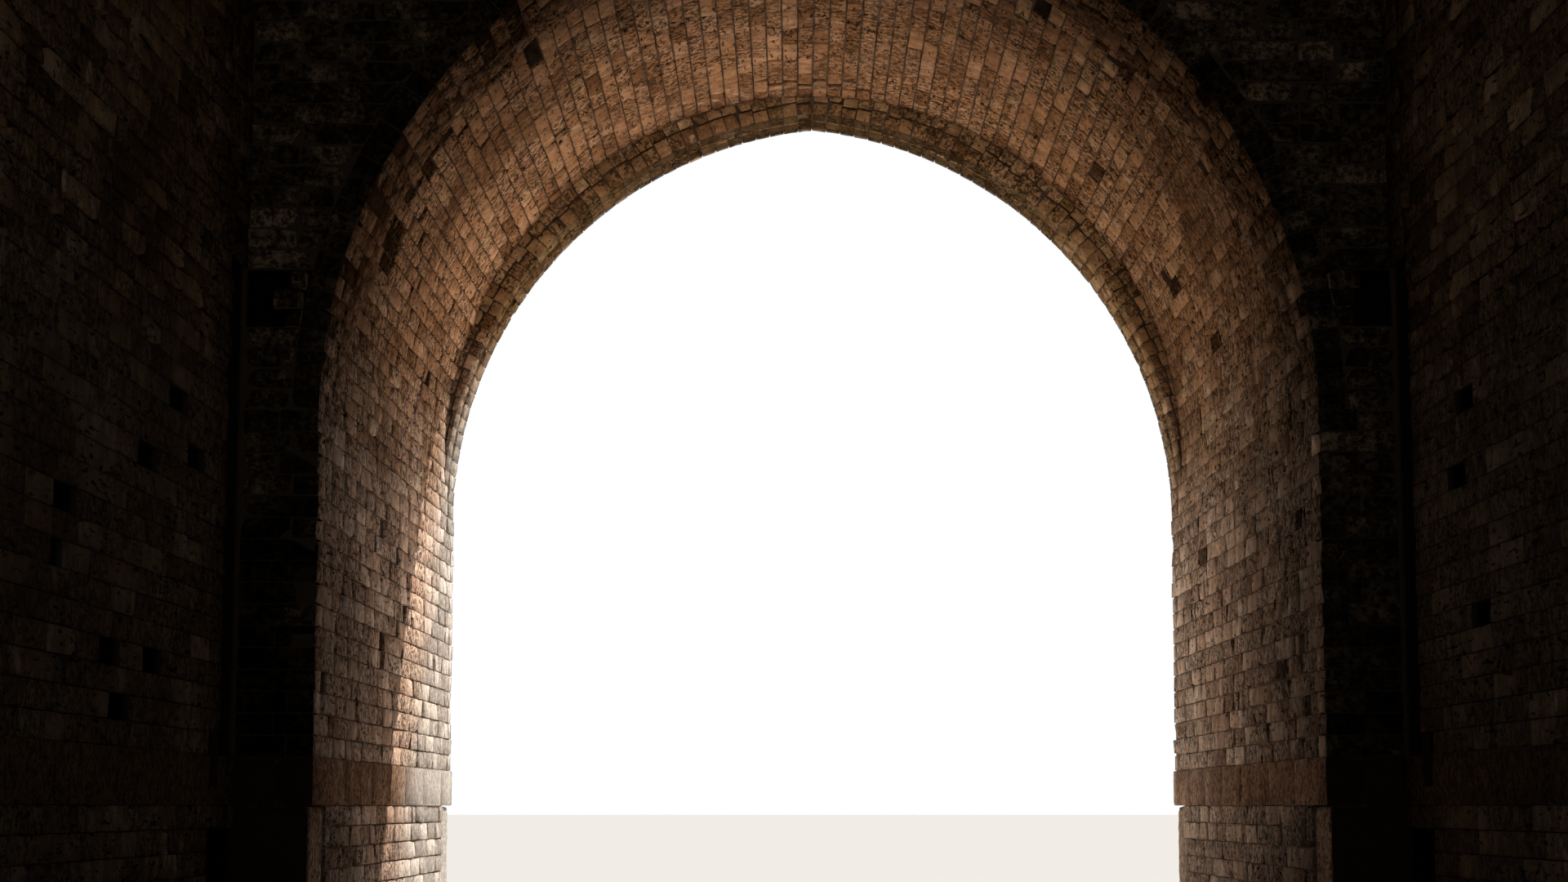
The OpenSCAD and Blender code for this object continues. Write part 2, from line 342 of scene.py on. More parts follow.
def finish_piece(obj, material):
    obj.data.materials.clear()
    obj.data.materials.append(material)
    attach(obj, "root")
    return obj


def block_faces(columns):
    """Polygons of a block: its outer ring, its inner ring and its four back corners."""
    m = 2 * (columns + 1)
    b0, b1, b2, b3 = range(2 * m, 2 * m + 4)
    faces = [[m + c, m + c + 1, 2 * m - 2 - c, 2 * m - 1 - c] for c in range(columns)]
    faces += [[i, (i + 1) % m, m + (i + 1) % m, m + i] for i in range(m)]
    faces.append(list(range(columns, -1, -1)) + [b0, b1])
    faces.append([columns + 1, columns, b1, b2])
    faces.append(list(range(m - 1, columns, -1)) + [b2, b3])
    faces.append([0, m - 1, b3, b0])
    faces.append([b1, b0, b3, b2])
    return faces


def left_handed(surface, row):
    """True where the surface turns (s, t, n) into a left-handed set."""
    s, t, d = (row[0] + row[1]) / 2, (row[4] + row[5]) / 2, 0.001

    def at(a, b, c):
        return np.array([float(w) for w in surface(np.array(a), np.array(b), np.array(c))])

    o = at(s, t, 0.0)
    return np.dot(np.cross(at(s + d, t, 0.0) - o, at(s, t + d, 0.0) - o), at(s, t, d) - o) < 0


def lay(mesh, surface, rows, style):
    """Lays blocks of a style on a surface. A row is the block's left and right end at its foot,
    the same at its head, the heights of foot and head, and how deep it sits in the wall."""
    if rows:
        lay_blocks(mesh, surface, np.asarray(rows, float), **{**PLAIN, **STYLES[style]})


def lay_blocks(mesh, surface, q, columns, joint, butt, proud, uneven, chamfer, worn, knocks, knock,
               tones):
    rng = mesh.rng
    count = len(q)
    u = np.linspace(0, 1, columns + 1)
    u = np.concatenate([u, u[::-1]])
    v = np.repeat([0.0, 1.0], columns + 1)
    m = len(u)
    left_foot, right_foot, left_head, right_head, foot, head, embed = (q[:, k:k + 1] for k in range(7))
    butt = joint if butt is None else butt
    left_foot, left_head = left_foot + butt / 2, left_head + butt / 2
    right_foot = np.maximum(right_foot - butt / 2, left_foot + LEAST_FRONT)
    right_head = np.maximum(right_head - butt / 2, left_head + LEAST_FRONT)
    foot, head = foot + joint / 2, head - joint / 2

    def spread(uu, vv):
        left = left_foot + (left_head - left_foot) * vv
        right = right_foot + (right_head - right_foot) * vv
        return left + (right - left) * uu, foot + (head - foot) * vv

    length = np.maximum((right_foot - left_foot + right_head - left_head) / 2, 0.01)
    height = np.maximum(head - foot, 0.01)
    inward_u = np.where(u == 0, 1.0, np.where(u == 1, -1.0, 0.0))
    inward_v = np.where(v == 0, 1.0, -1.0)
    corner = (inward_u != 0) & (rng.random((count, m)) < knocks)
    bite_u = rng.random((count, m)) * worn + corner * rng.random((count, m)) * knock
    bite_v = rng.random((count, m)) * worn + corner * rng.random((count, m)) * knock * 0.7
    uu = u + inward_u * np.minimum(bite_u / length, MOST_BITE[0])
    vv = v + inward_v * np.minimum(bite_v / height, MOST_BITE[1])
    inner_u = uu + inward_u * np.minimum(chamfer / length, MOST_CHAMFER[0])
    inner_v = vv + inward_v * np.minimum(chamfer / height, MOST_CHAMFER[1])
    tilt_u, tilt_v = rng.normal(0, uneven * 0.6, (2, count, 1))
    level = proud + rng.normal(0, uneven, (count, 1)) + tilt_u * (2 * u - 1) + tilt_v * (2 * v - 1)
    inner_n = np.maximum(level + rng.normal(0, worn * 0.6, (count, m)), LEAST_LEVEL)
    outer_n = inner_n - chamfer * (0.6 + 0.6 * rng.random((count, m))) - corner * knock * 0.5
    outer_n = np.maximum(outer_n, -EMBED / 2)
    s0, t0 = spread(uu, vv)
    s1, t1 = spread(inner_u, inner_v)
    s2, t2 = spread(np.array([0.0, 1, 1, 0]), np.array([0.0, 0, 1, 1]))
    back = np.broadcast_to(-embed, (count, 4))
    s = np.concatenate([s0, s1, s2], axis=1)
    t = np.concatenate([t0, t1, t2], axis=1)
    n = np.concatenate([outer_n, inner_n, back], axis=1)
    xyz = np.stack(np.broadcast_arrays(*surface(s, t, n)), axis=-1)
    mesh.add(xyz, block_faces(columns), left_handed(surface, q[0]), rng.uniform(*tones, count))


# Courses

def courses(*levels, pitch=COURSE):
    """Number, foot and head of the courses, so that each of the levels falls on a bed joint."""
    beds = [levels[0]]
    for a, b in zip(levels[:-1], levels[1:]):
        n = max(1, round((b - a) / pitch))
        beds += [a + (b - a) * k / n for k in range(1, n + 1)]
    return [(k, *ends) for k, ends in enumerate(zip(beds[:-1], beds[1:]))]


PLINTH_COURSES = courses(0.0, WAIST)
WALL_COURSES = courses(WAIST_TOP, E_SPRING, LINTEL, LINTEL_TOP, C_SPRING, WALL_TOP)


def below(top):
    """The courses of the walls up to a height."""
    return [course for course in WALL_COURSES if course[2] < top + NEAR]


def one_course(rng, course, left, right, headers=0.0, deep_left=False, deep_right=False,
               length=LONG, start=0.0):
    """Blocks of one course, half a brick further in every second one. left and right are its
    ends, or pairs of its ends at its foot and at its head."""
    k, foot, head = course
    left = left if isinstance(left, tuple) else (left, left)
    right = right if isinstance(right, tuple) else (right, right)
    a, b = max(left), min(right)
    shift = start + (k % 2) * LONG / 2
    joints = []
    at = math.floor((a - shift) / length) * length + shift
    while at < b:
        if a + length * CLOSER < at < b - length * CLOSER:
            joints.append(at)
        at += length * (0.5 if rng.random() < headers else 1.0)
    at_foot = [left[0], *joints, right[0]]
    at_head = [left[1], *joints, right[1]]
    rows = [[at_foot[i], at_foot[i + 1], at_head[i], at_head[i + 1], foot, head, EMBED]
            for i in range(len(joints) + 1)]
    rows[0][6] = DEEP if deep_left else EMBED
    rows[-1][6] = DEEP if deep_right else rows[-1][6]
    return rows


def open_gaps(rows, places):
    """Rows with gaps, and the gaps with their depths. A place is a point on the surface, the
    length of its gap, or 0 for the whole block, and how deep it is, or 0 for a dark block."""
    kept, gaps = [], []
    for r in rows:
        lo, hi = min(r[0], r[2]), max(r[1], r[3])
        hits = [p for p in places if lo <= p[0] < hi and r[4] <= p[1] < r[5]]
        if not hits:
            kept.append(r)
            continue
        at, _, length, depth = hits[0]
        if not length:
            gaps.append((r, depth))
            continue
        end = min(at + length, hi - JOINT)
        kept += [part + r[4:] for part in ([r[0], at, r[2], at], [end, r[1], end, r[3]])
                 if part[1] - part[0] > LEAST_BLOCK]
        gaps.append(([at, end, at, end] + r[4:], depth))
    return kept, gaps


def lay_dark(mesh, surface, gaps):
    """Fills the gaps without depth with dark blocks that lie lower; returns the other gaps."""
    lay(mesh, surface, [r for r, depth in gaps if not depth], "dark")
    return [(r, depth) for r, depth in gaps if depth]


def arris(k, parity, edge, sign):
    """End of course k at an arris that two walls own by turns, and whether it is this one's."""
    own = k % 2 == parity
    return (edge + sign * (PROUD + JOINT / 2) if own else edge - sign * (DEEP + JOINT / 2)), own


def middle(course):
    return (course[1] + course[2]) / 2


def on_side(side, rows):
    """Rows as they are on the right (1), or mirrored on the left (-1)."""
    return rows if side > 0 else [[-r[1], -r[0], -r[3], -r[2], *r[4:]] for r in rows]


# Holes where bricks are missing

def hole_box(surface, row, depth):
    """Corners of the hole that one missing block leaves."""
    s = np.array([row[0], row[1], row[3], row[2]] * 2)
    t = np.array([row[4], row[4], row[5], row[5]] * 2)
    n = np.array([HOLE_FRONT] * 4 + [-depth] * 4)
    return np.stack(np.broadcast_arrays(*surface(s, t, n)), axis=-1)


def cut_core(node, surface, gaps):
    """A copy of a node's solid with holes for the gaps, which stands for the node."""
    cutter = bpy.data.meshes.new("holes")
    faces = [(0, 1, 2, 3), (7, 6, 5, 4), (0, 4, 5, 1), (1, 5, 6, 2), (2, 6, 7, 3), (3, 7, 4, 0)]
    cutter.from_pydata([tuple(p) for r, depth in gaps for p in hole_box(surface, r, depth)], [],
                       [tuple(8 * k + i for i in f) for k in range(len(gaps)) for f in faces])
    fix_normals(cutter)
    holes = new_object("holes", cutter)
    core = new_object("core_" + node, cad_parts[node].data.copy())
    modifier = core.modifiers.new("holes", "BOOLEAN")
    modifier.operation = "DIFFERENCE"
    modifier.solver = "EXACT"
    modifier.use_self = True
    modifier.object = holes
    mesh = bpy.data.meshes.new_from_object(core.evaluated_get(bpy.context.evaluated_depsgraph_get()))
    core.modifiers.clear()
    core.data = mesh
    bpy.data.objects.remove(holes)
    finish_piece(core, MORTAR)
    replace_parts(core, node)


def fix_normals(mesh):
    bm = bmesh.new()
    bm.from_mesh(mesh)
    bmesh.ops.recalc_face_normals(bm, faces=bm.faces)
    bm.to_mesh(mesh)
    bm.free()


# Materials

# Noise patterns as scale, detail and roughness
PITS = (24, 9, 0.82)
SMEARS = (9, 6, 0.7)
HOLE_SHADE_SPOTS = (19, 5, 0.7)
OLIVE_PATCHES = (2.3, 5, 0.65)
STAINS = (0.7, 4, 0.6)
LIME_SPOTS = (6.0, 9, 0.75)
LIME_FIELDS = (0.9, 2, 0.5)
SOOT_PATCHES = (2.6, 9, 0.75)
WORN_FIELDS = (1.1, 3, 0.6)
WAVES = (14, 4, 0.6)
STONE_PITS = (30, 9, 0.8)
STONE_BLOTCHES = (2.2, 8, 0.7)
STONE_WAVES = (14, 6, 0.6)

# Painted shade of brick and stone where the door wall faces the chamber
DOOR_SHADE_COLOUR = (0.060, 0.042, 0.026)
SHADED_DOOR_STONE = (0.028, 0.020, 0.013)
# Stone on the chamber side, darkened as painted shade
SHADED_CHAMBER_STONE = (0.034, 0.023, 0.014)
# Black painted into small holes as their shade
HOLE_SHADE = (0.02, 0.012, 0.008)
# Pale colour of the jambs at the outer end, partly weathering and partly painted sunlight
BLEACHED_AND_SUNLIT = (0.77, 0.71, 0.64)
OLIVE = (0.84, 0.83, 0.72)
# Brightness of a dark brick beside the others
DARK_BRICK = 0.33


class Nodes:
    """A tree of nodes."""

    def __init__(self, tree):
        self.tree = tree

    def node(self, kind, *values, **settings):
        """A node with its settings and the values of its first sockets."""
        n = self.tree.nodes.new(kind)
        for key, value in settings.items():
            setattr(n, key, value)
        for k, value in enumerate(values):
            self.put(n.inputs[k], value)
        return n

    def put(self, socket, value):
        if isinstance(value, bpy.types.NodeSocket):
            self.tree.links.new(value, socket)
        elif isinstance(value, tuple) and len(value) == 3 and socket.type == "RGBA":
            socket.default_value = (*value, 1.0)
        else:
            socket.default_value = value

    def math(self, operation, a, b=0.0, clamp=False):
        return self.node("ShaderNodeMath", a, b, operation=operation, use_clamp=clamp).outputs[0]

    def seen(self):
        """1 for what the camera sees, straight or in a gloss or glass."""
        rays = self.node("ShaderNodeLightPath").outputs
        seen = self.math("MAXIMUM", rays["Is Camera Ray"], rays["Is Glossy Ray"])
        return self.math("MAXIMUM", seen, rays["Is Transmission Ray"])


class Graph(Nodes):
    """A node material with one Principled shader; x, y and z are the place on the part."""

    def __init__(self, name, roughness=0.95, gloss=0.0):
        self.material = bpy.data.materials.new(name)
        self.material.use_nodes = True
        super().__init__(self.material.node_tree)
        self.shader = self.tree.nodes["Principled BSDF"]
        self.shader.inputs["Roughness"].default_value = roughness
        self.shader.inputs["Specular IOR Level"].default_value = gloss
        self.place = self.node("ShaderNodeTexCoord").outputs["Object"]
        self.x, self.y, self.z = self.node("ShaderNodeSeparateXYZ", self.place).outputs

    def times(self, first, *others):
        for other in others:
            first = self.math("MULTIPLY", first, other)
        return first

    def mix(self, factor, a, b, blend="MIX"):
        n = self.node("ShaderNodeMix", factor, data_type="RGBA", blend_type=blend)
        self.put(n.inputs[6], a)
        self.put(n.inputs[7], b)
        return n.outputs[2]

    def shade(self, colour, level):
        """The colour times a brightness."""
        grey = self.node("ShaderNodeCombineColor", level, level, level).outputs[0]
        return self.mix(1.0, colour, grey, "MULTIPLY")

    def noise(self, scale, detail=3.0, rough=0.5, place=None):
        n = self.node("ShaderNodeTexNoise", self.place if place is None else place)
        n.inputs["Scale"].default_value = scale
        n.inputs["Detail"].default_value = detail
        n.inputs["Roughness"].default_value = rough
        return n.outputs["Fac"]

    def span(self, value, lo, hi, out_lo=0.0, out_hi=1.0):
        return self.node("ShaderNodeMapRange", value, lo, hi, out_lo, out_hi,
                         interpolation_type="SMOOTHSTEP").outputs[0]

    def ramp(self, value, colours):
        """Colours at even distances from 0 to 1."""
        n = self.node("ShaderNodeValToRGB", value)
        elements = n.color_ramp.elements
        elements.remove(elements[1])
        elements[0].position = 0.0
        elements[0].color = (*colours[0], 1.0)
        for k, colour in enumerate(colours[1:], 1):
            elements.new(k / (len(colours) - 1)).color = (*colour, 1.0)
        return n.outputs[0]

    def bump(self, height, distance, strength=1.0, normal=None):
        n = self.node("ShaderNodeBump")
        n.inputs["Distance"].default_value = distance
        self.put(n.inputs["Strength"], strength)
        self.put(n.inputs["Height"], height)
        if normal is not None:
            self.put(n.inputs["Normal"], normal)
        return n.outputs[0]

    def finish(self, colour, normal=None):
        self.put(self.shader.inputs["Base Color"], colour)
        if normal is not None:
            self.put(self.shader.inputs["Normal"], normal)
        return self.material

    def tone(self):
        return self.node("ShaderNodeAttribute", attribute_name="tone").outputs["Fac"]

    def facing(self):
        """How far the surface faces the outer side, from -1 to 1."""
        normal = self.node("ShaderNodeNewGeometry").outputs["Normal"]
        return self.node("ShaderNodeSeparateXYZ", normal).outputs[1]

    def stretched(self, *scales):
        return self.node("ShaderNodeVectorMath", self.place, scales, operation="MULTIPLY").outputs[0]

    def inside(self):
        """1 on surfaces inside the passage and the chamber, 0 on the outer faces, ends and top."""
        near = self.span(self.math("ABSOLUTE", self.x), CA + 0.25, CA + 0.75, 1.0, 0.0)
        depth = self.math("ADD", self.math("ABSOLUTE", self.y), self.times(self.z, LEAN))
        within = self.span(depth, Y_OUT - 0.05, Y_OUT - 0.02, 1.0, 0.0)
        return self.times(near, within, self.span(self.z, WALL_TOP - 0.6, WALL_TOP - 0.3, 1.0, 0.0))

    def bleach_and_sunlight(self, colour, pits, least):
        """The colour paler where rain and sun reach the jambs at the outer end, partly bleaching and partly
        painted sunlight along the sun's patch: lower down further in, and more on the left; least is the
        brightness of the pits there."""
        out = self.span(self.math("SUBTRACT", self.y, self.times(self.z, 0.65)), 3.4, 4.9)
        below = self.span(self.z, E_SPRING + 0.5, E_SPRING + 1.5, 1.0, 0.0)
        sun_and_weather = self.times(out, below, self.span(self.x, -1.0, 1.0, 1.0, 0.06))
        pale = self.shade(BLEACHED_AND_SUNLIT, self.span(pits, 0.44, 0.58, least, 1.1))
        return self.mix(self.times(sun_and_weather, self.inside(), 0.8), colour, pale)

    def painted_door_shade(self, proud):
        """Painted shade: near 1 on the wall round the door, where it faces the chamber, and with proud also
        on what stands out into the chamber."""
        black = self.times(self.span(self.facing(), -0.75, -0.35, 1.0, 0.0),
                           self.span(self.y, Y_DOOR + 0.16, Y_DOOR + 0.20, 1.0, 0.0))
        if proud:
            out = self.span(self.y, Y_DOOR - 0.003, Y_DOOR + 0.001, 1.0, 0.0)
            black = self.math("MAXIMUM", black, out)
        return self.times(black, self.inside())

    def painted_passage_shade(self):
        """Painted shade of the passage: brightness that rises from the door to the outer end, and is lower
        on the right and near the ground."""
        spread = self.times(self.noise(0.8, 4, 0.6), 3.0)
        along = self.span(self.math("ADD", self.y, spread), 3.0, 7.0, 0.50, 1.28)
        corner = self.times(self.span(self.x, 1.5, 2.5), self.span(self.y, 4.2, 5.6))
        across = self.times(self.span(self.x, -1.5, 2.6, 1.0, 0.81),
                            self.span(self.x, -2.5, -1.6, 1.16, 0.97),
                            self.span(corner, 0.0, 1.0, 1.0, 0.87))
        height = self.times(self.span(self.z, 0.9, 1.4, 0.78, 1.0), self.span(self.z, 2.7, 3.3, 1.13, 1.0),
                            self.span(self.z, 4.9, 5.6, 1.0, 0.91))
        return self.times(along, across, height)

    def slit_shade_dashes(self):
        """Low in short thin slits that run along the passage, painted dark as their shade."""
        return self.noise(1.0, 2.0, place=self.stretched(40.0, 9.0, 40.0))

    def hole_shade_dots(self):
        """1 in small holes in the bricks, painted black as their shade, more of them on the right."""
        cells = self.node("ShaderNodeTexVoronoi", self.stretched(20.0, 4.0, 20.0))
        cells.inputs["Scale"].default_value = 1.0
        pick = self.node("ShaderNodeSeparateColor", cells.outputs["Color"]).outputs[0]
        chosen = self.math("GREATER_THAN", pick, self.span(self.x, 0.0, 2.4, 0.90, 0.45))
        return self.times(chosen, self.span(cells.outputs["Distance"], 0.12, 0.16, 1.0, 0.0))

    def rim(self):
        """Painted light and shade on the outer arch: brighter on its face to the vault, darker under its
        crown.
        """
        back = self.span(self.facing(), -0.7, -0.4, 1.0, 0.0)
        under = self.span(self.z, END.z + 1.5, END.z + 2.75, 1.0, 0.36)
        return self.math("ADD", under, self.times(back, self.math("SUBTRACT", 1.65, under)))

    def chase(self):
        """Painted shade in the chamber: low brightness in the chases and holes of its side walls."""
        deep = self.span(self.math("ABSOLUTE", self.x), CA + 0.01, CA + 0.04)
        return self.span(self.times(deep, self.inside()), 0.0, 1.0, 1.0, 0.2)

    def above(self, lo, hi):
        """Rises from 0 at the height lo to 1 at hi, with a ragged edge."""
        ragged = self.times(self.math("SUBTRACT", self.noise(1.7, 6, 0.65), 0.5), 2.0)
        return self.span(self.math("ADD", self.z, ragged), lo, hi)


def brick_tones(g, tone, tones, outer, lower, levels):
    """Colour of each brick: its tone, other tones below the levels and on the outer walls."""
    colour = g.ramp(tone, tones)
    if lower:
        colour = g.mix(g.above(*levels), g.ramp(tone, lower), colour)
    if outer:
        colour = g.mix(g.inside(), g.ramp(tone, outer), colour)
    return g.shade(colour, g.span(tone, -0.6, -0.4, DARK_BRICK, 1.0))


def brick_wear(g, colour, stain, lime, lime_share, olive, greener):
    """The colour with olive patches, the painted shade of small holes and slits, stains and spots of lime.
    """
    patches = g.span(g.noise(*OLIVE_PATCHES), 0.40, 0.60, 0.0, olive)
    if greener:
        patches = g.math("ADD", patches, g.span(g.x, 0.5, 2.0, 0.0, 0.4), clamp=True)
    colour = g.mix(patches, colour, g.mix(1.0, colour, OLIVE, "MULTIPLY"))
    # Painted shade of small holes and slits.
    colour = g.shade(colour, g.span(g.noise(*HOLE_SHADE_SPOTS), 0.34, 0.38, 0.25, 1.0))
    colour = g.shade(colour, g.span(g.slit_shade_dashes(), 0.34, 0.39, 0.20, 1.0))
    colour = g.mix(g.span(g.noise(*STAINS), 0.42, 0.68, 0.0, 0.5), colour, stain)
    spots = g.span(g.noise(*LIME_SPOTS), 0.62 - 0.2 * lime_share, 0.68 - 0.2 * lime_share)
    limed = g.span(g.noise(*LIME_FIELDS), 0.50 - 0.25 * lime_share, 0.66)
    return g.mix(g.times(spots, limed, 0.6), colour, lime)


def brick_material(name, tones, stain, lime, lime_share, pitted=0.5, skin=0.03, outer=None, door_shade=None,
                   lower=None, levels=(2.9, 4.6), gradient=False, olive=0.8, right=1.0,
                   crumbly=(0.26, 1.76), rimmed=False):
    """Worn brick, one tone a brick: some bricks pitted, the others smooth and darker, with stains
    and lime. A pair gives the lowest and highest brightness of the painted shade round the door,
    crumbly that of the pits. outer gives the tones on the outer walls and lower those below the levels.
    gradient is for the passage and adds its painted shade, right is for the chamber and adds its
    painted shade in the chases, and rimmed is for the outer arch and adds its painted light and shade."""
    g = Graph(name)
    tone = g.tone()
    pits = g.noise(*PITS)
    flecks = g.span(pits, 0.44, 0.57, *crumbly)
    # A second random number for each brick decides whether it is rough
    other = g.math("FRACT", g.times(tone, 17.31))
    rough = g.math("ADD", other, g.times(g.noise(*WORN_FIELDS), 2.0))
    rough = g.span(rough, 1.85 - pitted, 2.15 - pitted)
    colour = brick_tones(g, tone, tones, outer, lower, levels)
    smooth = g.shade(colour, g.span(g.noise(*SMEARS), 0.35, 0.65, 0.50, 0.95))
    colour = g.mix(rough, smooth, g.shade(colour, flecks))
    colour = brick_wear(g, colour, stain, lime, lime_share, olive, gradient)
    # The passage gets its painted shade here, with black painted into small holes as their shade.
    if gradient:
        colour = g.mix(g.times(g.hole_shade_dots(), 0.85), g.shade(colour, g.painted_passage_shade()), HOLE_SHADE)
    # Painted shade in the chases of the chamber, and the chamber brighter to the right.
    if right != 1.0:
        colour = g.shade(g.shade(colour, g.chase()), g.span(g.x, -1.0, 1.0, 1.0, right))
    # Painted light on the outer arch's face to the vault and painted shade under its crown.
    if rimmed:
        colour = g.mix(g.inside(), colour, g.shade(colour, g.rim()))
    # Paler where the sun falls at the outer end: partly weathering, partly painted sunlight.
    if outer or lower:
        colour = g.bleach_and_sunlight(colour, pits, 0.70)
    # Painted shade in patches round the door, where the wall faces the chamber.
    if door_shade:
        black = g.times(g.span(g.noise(*SOOT_PATCHES), 0.42, 0.62, *door_shade),
                        g.span(tone, 0.0, 1.0, 0.85, 1.15),
                        g.span(g.z, DRESSED_TOP - 0.09, DRESSED_TOP + 0.11, 0.45, 1.0), flecks)
        colour = g.mix(g.painted_door_shade(True), colour, g.shade(DOOR_SHADE_COLOUR, black))
    waves = g.bump(g.noise(*WAVES), skin, 0.8)
    return g.finish(colour, g.bump(pits, skin, g.span(rough, 0.0, 1.0, 0.25, 1.0), waves))


def mortar_material():
    """Core and joints: earthy inside, pale lime on the outer faces, and painted shade in the chamber:
    dark there and black in the pockets of the door wall."""
    g = Graph("mortar")
    blotches = g.span(g.noise(3, 5, 0.6), 0.35, 0.65)
    inner = g.mix(g.above(2.9, 3.9), g.mix(blotches, (0.13, 0.086, 0.060), (0.27, 0.185, 0.135)),
                  g.mix(blotches, (0.060, 0.036, 0.022), (0.14, 0.095, 0.065)))
    outer = g.mix(g.span(g.noise(4, 5, 0.6), 0.35, 0.65), (0.30, 0.29, 0.27), (0.46, 0.45, 0.42))
    # Painted shade of the chamber and the door wall, near black behind the door face.
    dark = g.mix(g.above(3.2, 3.6), (0.030, 0.020, 0.013), (0.018, 0.012, 0.008))
    dark = g.mix(g.span(g.y, Y_DOOR - 0.12, Y_DOOR - 0.08), dark, (0.050, 0.035, 0.022))
    dark = g.mix(g.span(g.y, Y_DOOR + 0.03, Y_DOOR + 0.06), dark, (0.008, 0.005, 0.003))
    inner = g.mix(g.span(g.y, Y_DOOR + 0.16, Y_DOOR + 0.20), g.shade(dark, g.chase()), inner)
    return g.finish(g.mix(g.inside(), outer, inner), g.bump(g.noise(60, 5, 0.65), 0.015))


def stone_material(name, inner, outer, gloss=0.0):
    """Dressed stone with grain, pits and streaks, in two colours for inside and outside."""
    g = Graph(name, 0.85, gloss)
    blotches = g.span(g.noise(*STONE_BLOTCHES), 0.38, 0.62)
    # The stone darkens to painted shade on the chamber side of the door wall.
    chamber = g.span(g.y, Y_DOOR - 0.05, Y_DOOR, 0.88, 0.0)
    warm = g.mix(chamber, g.mix(blotches, *inner), SHADED_CHAMBER_STONE)
    colour = g.mix(g.inside(), g.mix(blotches, *outer), warm)
    pits = g.noise(*STONE_PITS)
    colour = g.shade(colour, g.span(pits, 0.42, 0.58, 0.36, 1.48))
    # Painted shade where the stone faces the chamber at the door wall.
    colour = g.mix(g.painted_door_shade(False), g.bleach_and_sunlight(colour, pits, 0.65), SHADED_DOOR_STONE)
    return g.finish(colour, g.bump(g.noise(*STONE_WAVES), 0.02, 0.8, g.bump(pits, 0.02)))


GREY_BRICK = [(0.115, 0.125, 0.140), (0.19, 0.205, 0.225), (0.25, 0.265, 0.285), (0.15, 0.16, 0.18),
              (0.33, 0.335, 0.34)]
JAMB_TONES = [(0.42, 0.255, 0.178), (0.62, 0.415, 0.305), (0.70, 0.490, 0.370), (0.60, 0.385, 0.275),
              (0.76, 0.560, 0.430)]
VAULT_TONES = [(0.24, 0.114, 0.055), (0.42, 0.209, 0.110), (0.49, 0.256, 0.140), (0.52, 0.282, 0.159),
               (0.44, 0.219, 0.110), (0.56, 0.324, 0.188)]
# Tones of the outer arch, kept dark as painted shade at the outer end of the vault.
SHADED_RIM_TONES = [(0.17, 0.088, 0.038), (0.36, 0.207, 0.102), (0.44, 0.262, 0.136), (0.30, 0.165, 0.078),
             (0.52, 0.325, 0.176)]
# Tones of the chamber, very dark as painted shade of the chamber; the second set is for its lower walls
SHADED_CHAMBER_TONES = [(0.050, 0.030, 0.016), (0.125, 0.078, 0.045), (0.155, 0.100, 0.060),
                 (0.100, 0.058, 0.031), (0.200, 0.135, 0.085)]
SHADED_CHAMBER_LOW = [(0.084, 0.059, 0.040), (0.122, 0.087, 0.061), (0.106, 0.072, 0.049),
               (0.148, 0.108, 0.076)]
SHOULDER_TONES = [(0.24, 0.15, 0.10), (0.40, 0.27, 0.19), (0.46, 0.33, 0.24)]
PASSAGE_LOOK = dict(skin=0.05, door_shade=(0.4, 1.4), lower=JAMB_TONES)
FACE_LOOK = dict(stain=(0.12, 0.115, 0.11), lime=(0.45, 0.44, 0.42), lime_share=0.4, pitted=0.2,
                 skin=0.012)
VAULT_BRICK = brick_material("vault_brick", VAULT_TONES, (0.24, 0.112, 0.052), (0.64, 0.43, 0.28),
                             0.35, 0.75, gradient=True, **PASSAGE_LOOK)
RIM_BRICK = brick_material("rim_brick", SHADED_RIM_TONES, (0.21, 0.114, 0.053), (0.58, 0.42, 0.28),
                           0.30, 0.6, outer=GREY_BRICK, rimmed=True, **PASSAGE_LOOK)
JAMB_BRICK = brick_material("jamb_brick", VAULT_TONES, (0.36, 0.225, 0.155), (0.72, 0.60, 0.49),
                            0.55, 0.7, outer=GREY_BRICK, gradient=True, olive=0.2, **PASSAGE_LOOK)
CHAMBER_BRICK = brick_material("chamber_brick", SHADED_CHAMBER_TONES, (0.050, 0.029, 0.016), (0.22, 0.16, 0.11),
                               0.35, 0.7, 0.05, GREY_BRICK, None, SHADED_CHAMBER_LOW, (3.25, 3.55),
                               right=1.2, crumbly=(0.45, 1.45))
SHOULDER_BRICK = brick_material("shoulder_brick", SHOULDER_TONES, (0.26, 0.155, 0.10),
                                (0.60, 0.48, 0.37), 0.45, 0.7, 0.05, door_shade=(0.40, 2.0))
FACE_BRICK = brick_material("face_brick", GREY_BRICK, **FACE_LOOK)
OUTER_BRICK = brick_material("outer_brick", JAMB_TONES, outer=GREY_BRICK, **FACE_LOOK)
CITY_BRICK = brick_material("city_brick", SHADED_CHAMBER_LOW, outer=GREY_BRICK, **FACE_LOOK)
MORTAR = mortar_material()
WAIST_STONE = stone_material("waist_stone", ((0.21, 0.117, 0.072), (0.33, 0.195, 0.122)),
                             ((0.33, 0.32, 0.30), (0.48, 0.47, 0.44)))
CORNER_STONE = stone_material("corner_stone", ((0.24, 0.150, 0.098), (0.40, 0.275, 0.190)),
                              ((0.34, 0.33, 0.31), (0.50, 0.49, 0.46)))
BAND_STONE = stone_material("band_stone", ((0.16, 0.165, 0.18), (0.24, 0.245, 0.26)),
                            ((0.13, 0.135, 0.15), (0.22, 0.225, 0.24)), 0.15)
PAVING_STONE = stone_material("paving_stone", ((0.28, 0.275, 0.26), (0.40, 0.39, 0.37)),
                              ((0.26, 0.255, 0.245), (0.38, 0.375, 0.36)), 0.1)


# Brickwork inside the passage

